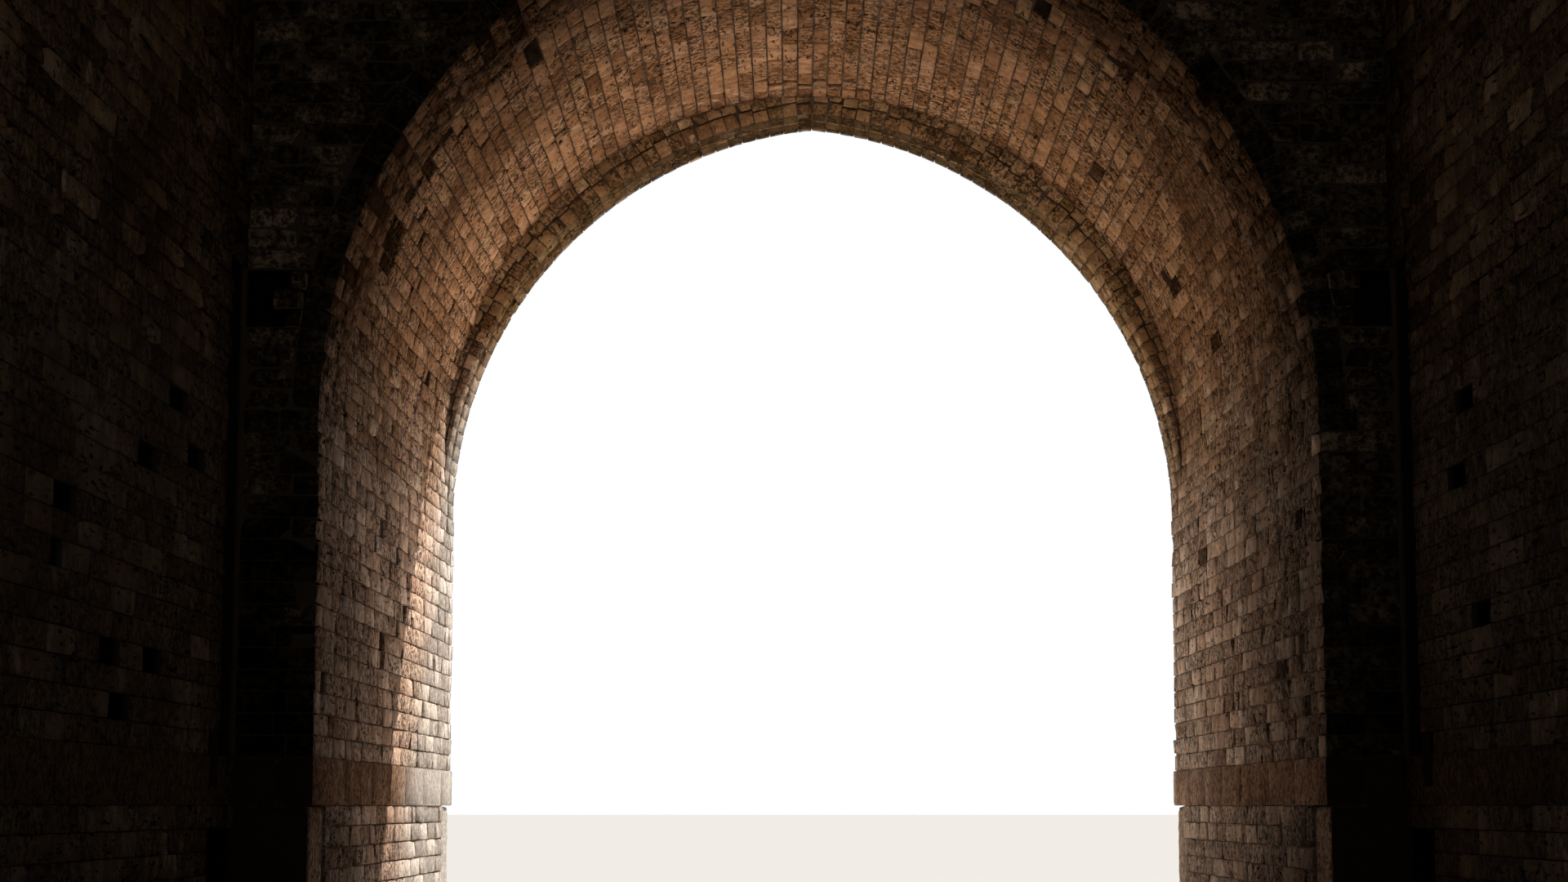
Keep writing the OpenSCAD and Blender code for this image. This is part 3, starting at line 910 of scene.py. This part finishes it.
def arc_rows(rng, arch, number, ends, headers=0.10):
    """Rows of a soffit with the given number of courses; ends gives where each course runs from
    its height and its number."""
    rows = []
    for k in range(number):
        t0, t1 = 2 * arch.half * k / number, 2 * arch.half * (k + 1) / number
        a, b = ends(float(arch.at(np.array((t0 + t1) / 2), 0.0)[1]), k)
        rows += one_course(rng, (k, t0, t1), a, b, headers, start=a)
    return rows


def voussoirs(arch, number, t0, t1, embed=DEEP, start=0.0):
    """Bricks round an arch from the length start on, and as far from its other foot; t1 is a
    number or gives the length of the bricks at an arc length."""
    step = 2 * (arch.half - start) / number
    rows = []
    for k in range(number):
        s0, s1 = start + k * step, start + (k + 1) * step
        far = t1((s0 + s1) / 2) if callable(t1) else t1
        rows.append([s0, s1, s0, s1, t0, far, embed(k) if callable(embed) else embed])
    return rows


def ring_depth(k):
    """Depth of brick k of a ring of headers and stretchers by turns."""
    return DEEP if k % 2 else 2 * DEEP


def up_to_vault(s):
    """Length of the bricks of the end arches where they meet the main vault."""
    return END.gap_to(PASSAGE, 0.02, s)


def from_right(degrees):
    """Arc length on the main vault at an angle from its right springing."""
    return VAULT.leg + VAULT.r * math.radians(degrees)


def from_left(degrees):
    return 2 * VAULT.half - from_right(degrees)


def crown_crack():
    """Open joints that step across the courses of the crown near the outer arch."""
    steps = (6.02, 6.16, 6.10, 6.24, 6.08, 6.20, 6.10, 6.26, 6.34)
    pitch = 2 * VAULT.half / P_COURSES
    first = VAULT.half + 3.5 * pitch
    return [(y, first - k * pitch, 0.04 + 0.03 * (k % 2), 0.08) for k, y in enumerate(steps)]


E_COURSES = 2 * round(END.half / VAULT_ROW)
P_COURSES = 2 * round(VAULT.half / VAULT_ROW)
C_COURSES = 2 * round(CHAMBER.half / COURSE)
RING = P_OFFSETS[1]
RIM_RING = 0.14
# Gaps on the right and left of the vault, as y, angle from the springing, length of the gap (0 for
# a whole brick) and depth (0 for a dark brick)
RIGHT_GAPS = [(2.75, 57.7, 0.0, 0.16), (3.15, 57.7, 0.0, 0.16), (2.90, 49.5, 0.0, 0.0),
              (2.97, 47.0, 0.12, 0.08), (2.90, 44.5, 0.0, 0.0), (2.99, 29.9, 0.08, 0.12),
              (2.84, 20.0, 0.09, 0.12), (4.95, 40.2, 0.06, 0.10), (3.95, 51.5, 0.05, 0.07),
              (3.99, 49.3, 0.04, 0.07), (5.40, 42.4, 0.0, 0.0), (5.40, 24.2, 0.18, 0.16),
              (5.55, 22.3, 0.0, 0.0), (4.65, 10.5, 0.0, 0.0)]
LEFT_GAPS = [(2.60, 24.0, 0.0, 0.0), (3.15, 17.1, 0.0, 0.0), (2.50, 46.0, 0.0, 0.0),
             (3.00, 48.6, 0.0, 0.10), (2.85, 43.9, 0.0, 0.0), (2.72, 29.4, 0.08, 0.08),
             (3.38, 25.5, 0.09, 0.10), (3.20, 22.8, 0.05, 0.08), (3.68, 21.5, 0.10, 0.12),
             (3.72, 23.8, 0.08, 0.12), (3.78, 37.3, 0.05, 0.08), (3.80, 8.4, 0.10, 0.08),
             (5.30, 7.5, 0.20, 0.14), (6.15, 8.0, 0.16, 0.14), (5.05, 50.4, 0.06, 0.08)]
VAULT_GAPS = [*((y, from_right(angle), *size) for y, angle, *size in RIGHT_GAPS),
              *((y, from_left(angle), *size) for y, angle, *size in LEFT_GAPS), *crown_crack()]
# Dark bricks in the door arch, as angles from its springings, and y of those in its soffit
DARK_RIGHT = (12.0, 36.0, 52.0)
DARK_LEFT = (5.0, 9.0, 16.0, 23.5, 25.1, 29.8, 45.0, 47.5)
DOOR_DARK = [2 * END.half - END.r * math.radians(angle) for angle in DARK_LEFT]
DOOR_DARK += [END.r * math.radians(angle) for angle in DARK_RIGHT]
DOOR_DARK_Y = 1.80
# Gaps in the jambs, as y, z, length and depth
JAMB_GAPS = {-1: [(3.56, 2.86, 0.19, 0.14), (4.26, 2.73, 0.17, 0.14), (4.30, 2.28, 0.12, 0.10),
                  (3.62, 2.17, 0.17, 0.14), (3.66, 2.05, 0.20, 0.0), (1.52, 1.97, 0.19, 0.14),
                  (1.54, 1.84, 0.19, 0.14), (3.79, 1.84, 0.21, 0.12), (5.16, 1.96, 0.26, 0.14),
                  (4.62, 2.40, 0.10, 0.08), (5.02, 1.60, 0.12, 0.08)],
             1: [(1.90, 2.05, 0.19, 0.14), (1.72, 1.72, 0.20, 0.10), (2.70, 1.97, 0.0, 0.0),
                 (1.92, 2.70, 0.18, 0.0), (5.50, 2.85, 0.0, 0.0), (4.75, 3.42, 0.0, 0.0),
                 (3.05, 1.12, 0.0, 0.0), (2.86, 3.10, 0.08, 0.10), (3.12, 1.57, 0.07, 0.10),
                 (5.80, 2.65, 0.08, 0.12), (3.25, 2.12, 0.07, 0.08)]}
# Missing bricks of the chamber walls, as y and z, and their depth
CHAMBER_GAPS = {-1: [(-2.33, 2.40), (-2.34, 2.19), (-0.88, 2.73), (-0.26, 3.09), (0.31, 2.85),
                     (-1.44, 1.82), (-0.77, 1.86), (-1.27, 1.60)],
                1: [(-0.13, 3.08), (0.09, 2.71), (-0.44, 2.04)]}
HOLE_DEPTH = 0.18
# Height above which the brickwork of the chamber is ragged
RAGGED_FROM = 3.45
# Dark bricks on the left flank of the vault near the door: angles, end and share
DARK_FLANK = (from_left(56), from_left(12))
DARK_TO = 2.8
DARK_SHARE = 0.3
# Part of the right flank where a crust hides the joints: its top and its start
CRUST_TOP = from_right(34)
CRUST_FROM = Y_RING + 0.3


def passage_vault():
    mesh = Mesh(11)
    surface = soffit(VAULT)
    rows = arc_rows(mesh.rng, VAULT, P_COURSES, lambda z, k: (Y_RING, Y_RIM))
    rows, gaps = open_gaps(rows, VAULT_GAPS)
    clear, crust = [], []
    for r in rows:
        flank = DARK_FLANK[0] < r[4] < DARK_FLANK[1] and r[0] < DARK_TO
        if flank and mesh.rng.random() < DARK_SHARE:
            gaps.append((r, 0.0))
        else:
            (crust if r[5] < CRUST_TOP and r[0] > CRUST_FROM else clear).append(r)
    lay(mesh, surface, clear, "vault")
    lay(mesh, surface, crust, "crust")
    gaps = [(r, depth) for r, depth in lay_dark(mesh, surface, gaps)
            if r[4] > VAULT.leg and r[5] < 2 * VAULT.half - VAULT.leg]
    cut_core("passage_vault_ring_1", surface, gaps)
    mesh.piece("passage_vault_bricks", VAULT_BRICK)


def door_arch():
    """Arch in the door wall: its soffit and a ring of bricks on each side."""
    mesh = Mesh(12)
    ring = voussoirs(END, E_COURSES, -PROUD, RIM_RING, ring_depth)
    dark = [r for r in ring if any(r[0] <= at < r[1] for at in DOOR_DARK)]
    front = ring_face(END, upright(-1, Y_DOOR))
    lay(mesh, front, [r for r in ring if r not in dark], "arris")
    lay(mesh, front, dark, "dark")
    rows = arc_rows(mesh.rng, END, E_COURSES,
                    lambda z, k: (Y_DOOR + ring_depth(k), Y_RING - ring_depth(k + 1)), 0.15)
    rows, gaps = open_gaps(rows, [(DOOR_DARK_Y, at, 0.0, 0.0) for at in DOOR_DARK])
    lay(mesh, soffit(END), rows, "vault")
    lay_dark(mesh, soffit(END), gaps)
    back = voussoirs(END, E_COURSES, -PROUD, up_to_vault, lambda k: ring_depth(k + 1))
    lay(mesh, ring_face(END, upright(1, Y_RING)), back, "vault")
    mesh.piece("door_arch_bricks", VAULT_BRICK)


def outer_arch():
    """Lower arch at the outer end: its face to the vault, its soffit and its front."""
    mesh = Mesh(13)
    inner = []
    for row in voussoirs(END, E_COURSES, -PROUD, up_to_vault, DEEP):
        split = row[4] + (row[5] - row[4]) * mesh.rng.uniform(*SPLIT)
        inner += [row[:5] + [split, DEEP], row[:4] + [split, row[5], EMBED]]
    lay(mesh, ring_face(END, upright(-1, Y_RIM)), inner, "vault")
    ends = (Y_RIM + DEEP, Y_OUT - LEAN * E_SPRING - DEEP)
    lay(mesh, soffit(END), arc_rows(mesh.rng, END, E_COURSES, lambda z, k: ends, 0.15), "vault")
    rim = voussoirs(END, E_COURSES, -PROUD, lambda s: END.gap_to(PASSAGE, RING, s))
    lay(mesh, ring_face(END, long_face(1)), rim, "arris")
    mesh.piece("outer_arch_bricks", RIM_BRICK)


def jambs(side):
    mesh = Mesh(20 + side)
    wall = side_wall(side, PA)
    rows = []
    for course in below(E_SPRING):
        a, own_a = arris(course[0], 1, Y_DOOR, -1)
        b, own_b = arris(course[0], 1, face_y(middle(course)), 1)
        rows += one_course(mesh.rng, course, a, b, 0.15, own_a, own_b)
    rows, gaps = open_gaps(rows, JAMB_GAPS[side])
    lay(mesh, wall, rows, "jamb")
    gaps = lay_dark(mesh, wall, gaps)
    rows = []
    for course in PLINTH_COURSES:
        rows += one_course(mesh.rng, course, Y_DOOR + CORNER, Y_OUT - CORNER, 0.2)
    lay(mesh, wall, rows, "jamb")
    cut_core("wall_passage_" + SIDES[side], wall, gaps)
    mesh.piece("jamb_bricks_" + SIDES[side], JAMB_BRICK)


# Brickwork inside the chamber

def chamber_end(course):
    """Where a course of the chamber walls stops: at the bar socket, the post chase or the door
    wall."""
    if course[1] < BAR_TOP - PLAY:
        return BAR_Y[0]
    return Y_DOOR - POST_CHASE if middle(course) < LINTEL_TOP else Y_DOOR


def chamber_walls(side):
    mesh = Mesh(30 + side)
    wall = side_wall(side, CA)
    rows = []
    for course in below(C_SPRING):
        a, own = arris(course[0], 1, -face_y(middle(course)), -1)
        end = chamber_end(course)
        rows += one_course(mesh.rng, course, a, end, 0.15, own, end < Y_DOOR)
    rows, gaps = open_gaps(rows, [(y, z, 0.0, HOLE_DEPTH) for y, z in CHAMBER_GAPS[side]])
    lay(mesh, wall, [r for r in rows if r[5] < RAGGED_FROM], "chamber")
    lay(mesh, wall, [r for r in rows if r[5] >= RAGGED_FROM], "ragged")
    for course in PLINTH_COURSES:
        end = NICHE_Y if course[2] < NICHE_TOP + PLAY else Y_DOOR
        row = one_course(mesh.rng, course, -face_y(course[1]) + CORNER, end, 0.15)
        lay(mesh, wall, row, "chamber")
    for course in below(LINTEL):
        row = one_course(mesh.rng, course, Y_DOOR - POST_CHASE, Y_DOOR)
        lay(mesh, side_wall(side, CA + POST_DEPTH), row, "chamber")
    cut_core("wall_chamber_" + SIDES[side], wall, gaps)
    mesh.piece("chamber_wall_bricks_" + SIDES[side], CHAMBER_BRICK)


def chamber_vault():
    mesh = Mesh(33)
    rows = arc_rows(mesh.rng, CHAMBER, C_COURSES, lambda z, k: (-face_y(z) + DEEP, Y_DOOR))
    lay(mesh, soffit(CHAMBER), rows, "ragged")
    mesh.piece("chamber_vault_bricks", CHAMBER_BRICK)


def door_wall():
    """Wall round the passage inside the chamber: dressed below, rough above, and with broken ends
    of courses in the lintel chase."""
    mesh = Mesh(34)
    rng = mesh.rng
    smooth, rough = [], []
    for course in WALL_COURSES:
        k, foot, head = course
        outer = (CHAMBER.width_at(foot), CHAMBER.width_at(head))
        inner = (END.width_at(foot, RIM_RING), END.width_at(head, RIM_RING))
        if LINTEL - NEAR < foot < LINTEL_TOP - NEAR:
            for side in SIDES:
                end = CA - rng.uniform(*BROKEN)
                rough += on_side(side, [[inner[0], end, inner[1], end, foot, head, CHASE + EMBED]])
        elif min(outer) < CLOSED_WALL:
            continue
        elif head <= E_SPRING + NEAR:
            edge, own = arris(k, 0, PA, -1)
            right, left = [one_course(rng, course, edge, outer[0], 0.2, own) for _ in SIDES]
            (smooth if head < DRESSED_TOP else rough).extend(on_side(-1, left) + right)
        elif inner[0] > CLOSED_ARCH:
            for side in SIDES:
                rough += on_side(side, shoulder_course(rng, course, inner, outer))
        else:
            rough += one_course(rng, course, (-outer[0], -outer[1]), outer, 0.5)
    lay(mesh, upright(-1, Y_DOOR), smooth, "dressed")
    lay(mesh, upright(-1, Y_DOOR), rough, "rubble")
    mesh.piece("door_wall_bricks", SHOULDER_BRICK)


def shoulder_course(rng, course, inner, outer):
    """One course between the right flank of an arch and the edge of the wall. Where the arch is
    flat, short blocks fill its upper half."""
    rows = []
    near = inner[1]
    if inner[0] - inner[1] > FLAT_RUN:
        rows += one_course(rng, (0, middle(course), course[2]), (inner[0] + inner[1]) / 2, inner[0],
                           length=SHORT)
        near = inner[0]
    if min(outer) - inner[0] > LEAST_RUN:
        rows += one_course(rng, course, (inner[0], near), tuple(outer), 0.5)
    return rows


# Outer faces

# Bed joint where the cover rings of each face start
RINGS_FOOT = {1: LINTEL, -1: C_SPRING}


def face_courses(rng, sign, arch, rings):
    """Courses of a long face round its arch; it owns its corners by turns with the ends."""
    rows = []
    for course in WALL_COURSES:
        k, foot, head = course
        edge, own = arris(k, 0, HALF_L, 1)
        grow = rings[-1] if head > RINGS_FOOT[sign] + NEAR else RING
        inner = (arch.width_at(foot, grow), arch.width_at(head, grow))
        for side in (1, -1):
            if head <= (E_SPRING if sign > 0 else C_SPRING) + NEAR:
                near, near_own = arris(k, 0, arch.a, -1)
                part = one_course(rng, course, near, edge, 0.1, near_own, own)
            elif inner[0] > CLOSED_ARCH:
                part = shoulder_course(rng, course, inner, (edge, edge))
                part[-1][6] = DEEP if own else EMBED
            else:
                part = one_course(rng, course, 0.0, edge, 0.1, False, own)
            rows += on_side(side, part)
    return rows


def long_wall(sign):
    """Brick skin of one long face: plinth, wall and the outer rings of its arch."""
    mesh = Mesh(40 + sign)
    wall = long_face(sign)
    arch, rings = (PASSAGE, P_OFFSETS) if sign > 0 else (CHAMBER, C_OFFSETS)
    lay(mesh, wall, face_courses(mesh.rng, sign, arch, rings), "face")
    for course in PLINTH_COURSES:
        edge, own = arris(course[0], 0, HALF_L, 1)
        for side in (1, -1):
            part = one_course(mesh.rng, course, arch.a + CORNER, edge, 0.1, False, own)
            lay(mesh, wall, on_side(side, part), "face")
    start = RINGS_FOOT[sign] - arch.z
    for k in range(2 if sign > 0 else 1, len(rings)):
        t0, t1 = rings[k - 1], rings[k]
        number = 2 * round(arch.half * (1 + t0 / arch.r) / (COURSE if k % 2 else LONG))
        rows = (voussoirs(arch, C_COURSES, -PROUD, t1) if k == 1
                else voussoirs(arch, number, t0, t1, EMBED, start))
        lay(mesh, ring_face(arch, wall), rows, "face")
    mesh.piece("face_bricks_" + FACES[sign], OUTER_BRICK if sign > 0 else CITY_BRICK)


def end_wall(side):
    mesh = Mesh(44 + side)
    rows = []
    for course in WALL_COURSES + PLINTH_COURSES:
        edge, own = arris(course[0], 1, face_y(middle(course)), 1)
        rows += one_course(mesh.rng, course, -edge, edge, 0.1, own, own)
    lay(mesh, end_face(side, HALF_L), rows, "face")
    mesh.piece("end_bricks_" + SIDES[side], FACE_BRICK)


# Stones

def stone_course(rng, a, b, deep_a, deep_b):
    """Blocks of uneven length from a to b, the last two of which share what is left."""
    joints = [a]
    while b - joints[-1] > STONE_REST:
        joints.append(joints[-1] + rng.uniform(*STONE_LENGTH))
    if b - joints[-1] > STONE_LENGTH[1]:
        joints.append((joints[-1] + b) / 2)
    joints.append(b)
    rows = [[p, q, p, q, WAIST, WAIST_TOP, EMBED] for p, q in zip(joints[:-1], joints[1:])]
    rows[0][6] = DEEP if deep_a else EMBED
    rows[-1][6] = DEEP if deep_b else EMBED
    return rows


def waist_stones(part, side):
    """Stone band over the plinth, inside and outside."""
    passage = part == "passage"
    mesh = Mesh(50 + side + (6 if passage else 2))
    sign = 1 if passage else -1
    x0 = (PA if passage else CA) - WAIST_PROUD
    inner = side_wall(side, x0)
    face = sign * (face_y(WAIST) + WAIST_PROUD + JOINT / 2)

    def band(surface, a, b, deep_a=False, deep_b=False, facing=1):
        lay(mesh, surface, on_side(facing, stone_course(mesh.rng, a, b, deep_a, deep_b)), "stone")

    if passage:
        band(inner, Y_DOOR - WAIST_PROUD - JOINT / 2, face, True, True)
        band(upright(-1, Y_DOOR - WAIST_PROUD), x0 + DEEP, CA - WAIST_PROUD, facing=side)
    else:
        band(inner, face, BAR_Y[0], True, True)
        band(inner, BAR_Y[1], Y_DOOR)
    band(long_face(sign, WAIST_PROUD), x0 + DEEP, HALF_L + PROUD, False, True, side)
    band(end_face(side, HALF_L), *sorted((Y_DOOR, sign * (face_y(WAIST) - DEEP))))
    mesh.piece(f"waist_stones_{part}_{SIDES[side]}", WAIST_STONE)


def lattice(cuts):
    """Corners in 0..1 and faces of a box whose sides are cut into the given numbers of parts."""
    grid = {}
    faces = []
    for axis in range(3):
        a, b = (axis + 1) % 3, (axis + 2) % 3
        for end in (0, cuts[axis]):
            for i in range(cuts[a]):
                for j in range(cuts[b]):
                    quad = []
                    for di, dj in ((0, 0), (1, 0), (1, 1), (0, 1)):
                        p = [0, 0, 0]
                        p[axis], p[a], p[b] = end, i + di, j + dj
                        quad.append(grid.setdefault(tuple(p), len(grid)))
                    faces.append(quad if end else quad[::-1])
    return np.array(list(grid)) / cuts, faces


def worn_stone(mesh, lo, hi, cuts, lean, rounding=0.012, rough=0.004):
    """One stone between two corners, with rounded edges and a rough skin kept inside its box."""
    uvw, faces = lattice(cuts)
    lo, hi = np.array(lo), np.array(hi)
    at_edge = (np.isclose(uvw, 0) | np.isclose(uvw, 1)).sum(axis=1)
    inward = np.where(np.isclose(uvw, 0), 1.0, np.where(np.isclose(uvw, 1), -1.0, 0.0))
    push = np.where(at_edge >= 2, rounding, 0.0)[:, None] * inward
    push = push + inward * mesh.rng.random((len(uvw), 1)) * rough
    points = lo + uvw * (hi - lo) + push
    points[:, 1] -= lean * LEAN * points[:, 2]
    mesh.add(points[None], faces, False, mesh.rng.random(1))


def corner_stones(node, x0, y0, y1, lean):
    mesh = Mesh(60 + lean)
    for side in SIDES:
        lo, hi = sorted((side * x0, side * (x0 + CORNER)))
        worn_stone(mesh, (lo, y0, 0.0), (hi, y1, WAIST), STONE_CUTS, lean)
    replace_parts(mesh.piece("stones_" + node, CORNER_STONE), node)


# Top of the wall

def string_course(sign):
    """Corbel row of bricks with wide joints under a band of smooth blocks."""
    mesh = Mesh(70 + sign)
    rows = one_course(mesh.rng, (0, WALL_TOP, WALL_TOP + CORBEL_H), -HALF_L, HALF_L)
    lay(mesh, upright(sign, sign * (FACE_TOP + CORBEL_OUT)), rows, "corbel")
    mesh.piece("corbel_bricks_" + FACES[sign], FACE_BRICK)
    mesh = Mesh(73 + sign)
    rows = one_course(mesh.rng, (0, WALL_TOP + CORBEL_H, STRING_TOP), -HALF_L, HALF_L, length=2 * LONG)
    lay(mesh, upright(sign, sign * STRING_OUT), rows, "band")
    mesh.piece("band_blocks_" + FACES[sign], BAND_STONE)


def parapet(sign):
    mesh = Mesh(76 + sign)
    levels = courses(STRING_TOP, PARAPET_TOP, pitch=PARAPET_COURSE)
    for plane in (upright(sign, sign * FACE_TOP), upright(-sign, sign * PARAPET_BACK)):
        rows = []
        for course in levels:
            rows += one_course(mesh.rng, course, -HALF_L, HALF_L, 0.1)
        lay(mesh, plane, rows, "face")
    lo, hi = sorted((sign * FACE_TOP, sign * PARAPET_BACK))
    for side in SIDES:
        lay(mesh, end_face(side, HALF_L), [[lo, hi, lo, hi, *course[1:], EMBED] for course in levels],
            "face")
    mesh.piece("parapet_bricks_" + FACES[sign], FACE_BRICK)


def coping(sign):
    """Ridged slabs across the parapet, each a little lower or higher than the next."""
    name = "coping_" + FACES[sign]
    lo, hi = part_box(name)
    mesh = Mesh(79 + sign)
    count = round((hi.x - lo.x) / LONG)
    step = (hi.x - lo.x) / count
    rise = hi.z - lo.z
    section = [(0.0, 0.0), (1.0, 0.0), (1.0, COPING_EDGE), (COPING_RIDGE[1], rise),
               (COPING_RIDGE[0], rise), (0.0, COPING_EDGE)]
    sides = len(section)
    faces = [list(range(sides - 1, -1, -1)), list(range(3 * sides, 4 * sides))]
    for a in range(0, 3 * sides, sides):
        b = a + sides
        faces += [[a + i, a + (i + 1) % sides, b + (i + 1) % sides, b + i] for i in range(sides)]
    for k in range(count):
        sunk = mesh.rng.random() * SLAB_SINK
        points = []
        for x, inset in ((SLAB_JOINT, SLAB_ROUND), (SLAB_BEVEL, 0.0), (step - SLAB_BEVEL, 0.0),
                         (step - SLAB_JOINT, SLAB_ROUND)):
            for w, z in section:
                y = lo.y + (hi.y - lo.y) * w + inset * (1 if w < 0.5 else -1)
                points.append((lo.x + k * step + x, y, lo.z + max(z - inset - sunk, 0.0)))
        mesh.add(np.array(points)[None], faces, True, mesh.rng.random(1))
    slabs = mesh.piece("slabs_" + name, BAND_STONE)
    fix_normals(slabs.data)
    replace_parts(slabs, name)


def deck_paving():
    """Tiles on the deck and a row of kerb stones at each of its ends."""
    mesh = Mesh(82)
    rows = []
    for course in courses(-DECK_HALF, DECK_HALF, pitch=LONG):
        rows += one_course(mesh.rng, course, -HALF_L, HALF_L)
    lay(mesh, flat_top(DECK_TOP), rows, "paving")
    for side in SIDES:
        kerb = one_course(mesh.rng, (0, low("deck").z, DECK_TOP), -DECK_HALF, DECK_HALF,
                          length=2 * LONG)
        lay(mesh, end_face(side, high("deck").x), kerb, "paving")
    mesh.piece("deck_tiles", PAVING_STONE)


# Stage: floor, light and camera

FLOOR_HALF = 400.0
FLOOR_LIT = (0.56, 0.535, 0.50)
FLOOR_SEEN = (0.455, 0.45, 0.44)
SKY_COLOUR = (0.96, 0.98, 1.0)
SKY_CITY = 0.27
SKY_OUTER = 0.95
SUN_TOWARDS = (1.0, 1.0, 1.65)
SUN_COLOUR = (1.0, 0.95, 0.88)
SUN_STRENGTH = 5.6
SUN_WIDTH = 0.6
# Soft lamps near the ground: place, direction, size, power and spread. One shines up into the
# vault from outside, and one from the chamber to the outer arch.
FILLS = {"fill_outer": ((0.0, Y_OUT + 1.0, 0.3), (0.0, -0.55, 0.83), (5.0, 3.0), 70.0, 95),
         "fill_chamber": ((0.0, -2.0, 0.15), (0.0, 8.6, 5.0), (2.0, 1.0), 27.0, 44)}
FILL_COLOUR = (1.0, 0.96, 0.90)
EYE = (-0.12, -13.31, 1.15)
LENS = 63.75
PITCH = 7.507
YAW = 0.25


def floor():
    mesh = bpy.data.meshes.new("floor")
    w = FLOOR_HALF
    mesh.from_pydata([(-w, -w, 0), (w, -w, 0), (w, w, 0), (-w, w, 0)], [], [(0, 1, 2, 3)])
    obj = new_object("floor", mesh)
    g = Graph("floor", 0.9)
    mesh.materials.append(g.finish(g.mix(g.seen(), FLOOR_LIT, FLOOR_SEEN)))


def sky():
    """White for the camera; soft light that is brighter from the outer side."""
    world = bpy.data.worlds.new("studio")
    bpy.context.scene.world = world
    world.use_nodes = True
    world.node_tree.nodes.clear()
    g = Nodes(world.node_tree)
    towards = g.node("ShaderNodeTexCoord").outputs["Generated"]
    y = g.node("ShaderNodeSeparateXYZ", towards).outputs["Y"]
    strength = g.node("ShaderNodeMapRange", y, -0.6, 0.6, SKY_CITY, SKY_OUTER).outputs[0]
    light = g.node("ShaderNodeBackground", SKY_COLOUR, strength).outputs[0]
    white = g.node("ShaderNodeBackground", (1.0, 1.0, 1.0), 1.0).outputs[0]
    g.node("ShaderNodeOutputWorld", g.node("ShaderNodeMixShader", g.seen(), light, white).outputs[0])


def sun():
    lamp = bpy.data.lights.new("key", "SUN")
    lamp.energy = SUN_STRENGTH
    lamp.angle = math.radians(SUN_WIDTH)
    lamp.color = SUN_COLOUR
    new_object("key", lamp).rotation_euler = Vector(SUN_TOWARDS).to_track_quat("Z", "Y").to_euler()


def fills():
    for name, (place, towards, size, watts, spread) in FILLS.items():
        lamp = bpy.data.lights.new(name, "AREA")
        lamp.shape = "RECTANGLE"
        lamp.size, lamp.size_y = size
        lamp.energy = watts
        lamp.spread = math.radians(spread)
        lamp.color = FILL_COLOUR
        obj = new_object(name, lamp)
        obj.location = place
        obj.rotation_euler = Vector(towards).to_track_quat("-Z", "Y").to_euler()
        obj.visible_camera = False


def camera():
    data = bpy.data.cameras.new("camera")
    data.lens = LENS
    data.sensor_width = 36.0
    data.clip_end = 1000.0
    obj = new_object("camera", data)
    obj.location = EYE
    obj.rotation_euler = (math.radians(90 + PITCH), 0.0, math.radians(YAW))
    bpy.context.scene.camera = obj


camera()
sky()
sun()
fills()
floor()
bpy.context.scene.view_settings.view_transform = "Standard"

# Nodes whose core is not mortar, by the start of their names
CORES = {"waist_course": WAIST_STONE, "string_course": BAND_STONE}
for name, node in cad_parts.items():
    node.data.materials.clear()
    node.data.materials.append(next((CORES[key] for key in CORES if name.startswith(key)), MORTAR))

passage_vault()
door_arch()
outer_arch()
chamber_vault()
door_wall()
for side in SIDES:
    jambs(side)
    chamber_walls(side)
    end_wall(side)
    waist_stones("chamber", side)
    waist_stones("passage", side)
corner_stones("corner_stones_mouth", CA, -Y_OUT, -Y_OUT + CORNER, -1)
corner_stones("corner_stones_door", PA, Y_DOOR, Y_DOOR + CORNER, 0)
corner_stones("corner_stones_outer", PA, Y_OUT - CORNER, Y_OUT, 1)
for sign in FACES:
    long_wall(sign)
    string_course(sign)
    parapet(sign)
    coping(sign)
deck_paving()
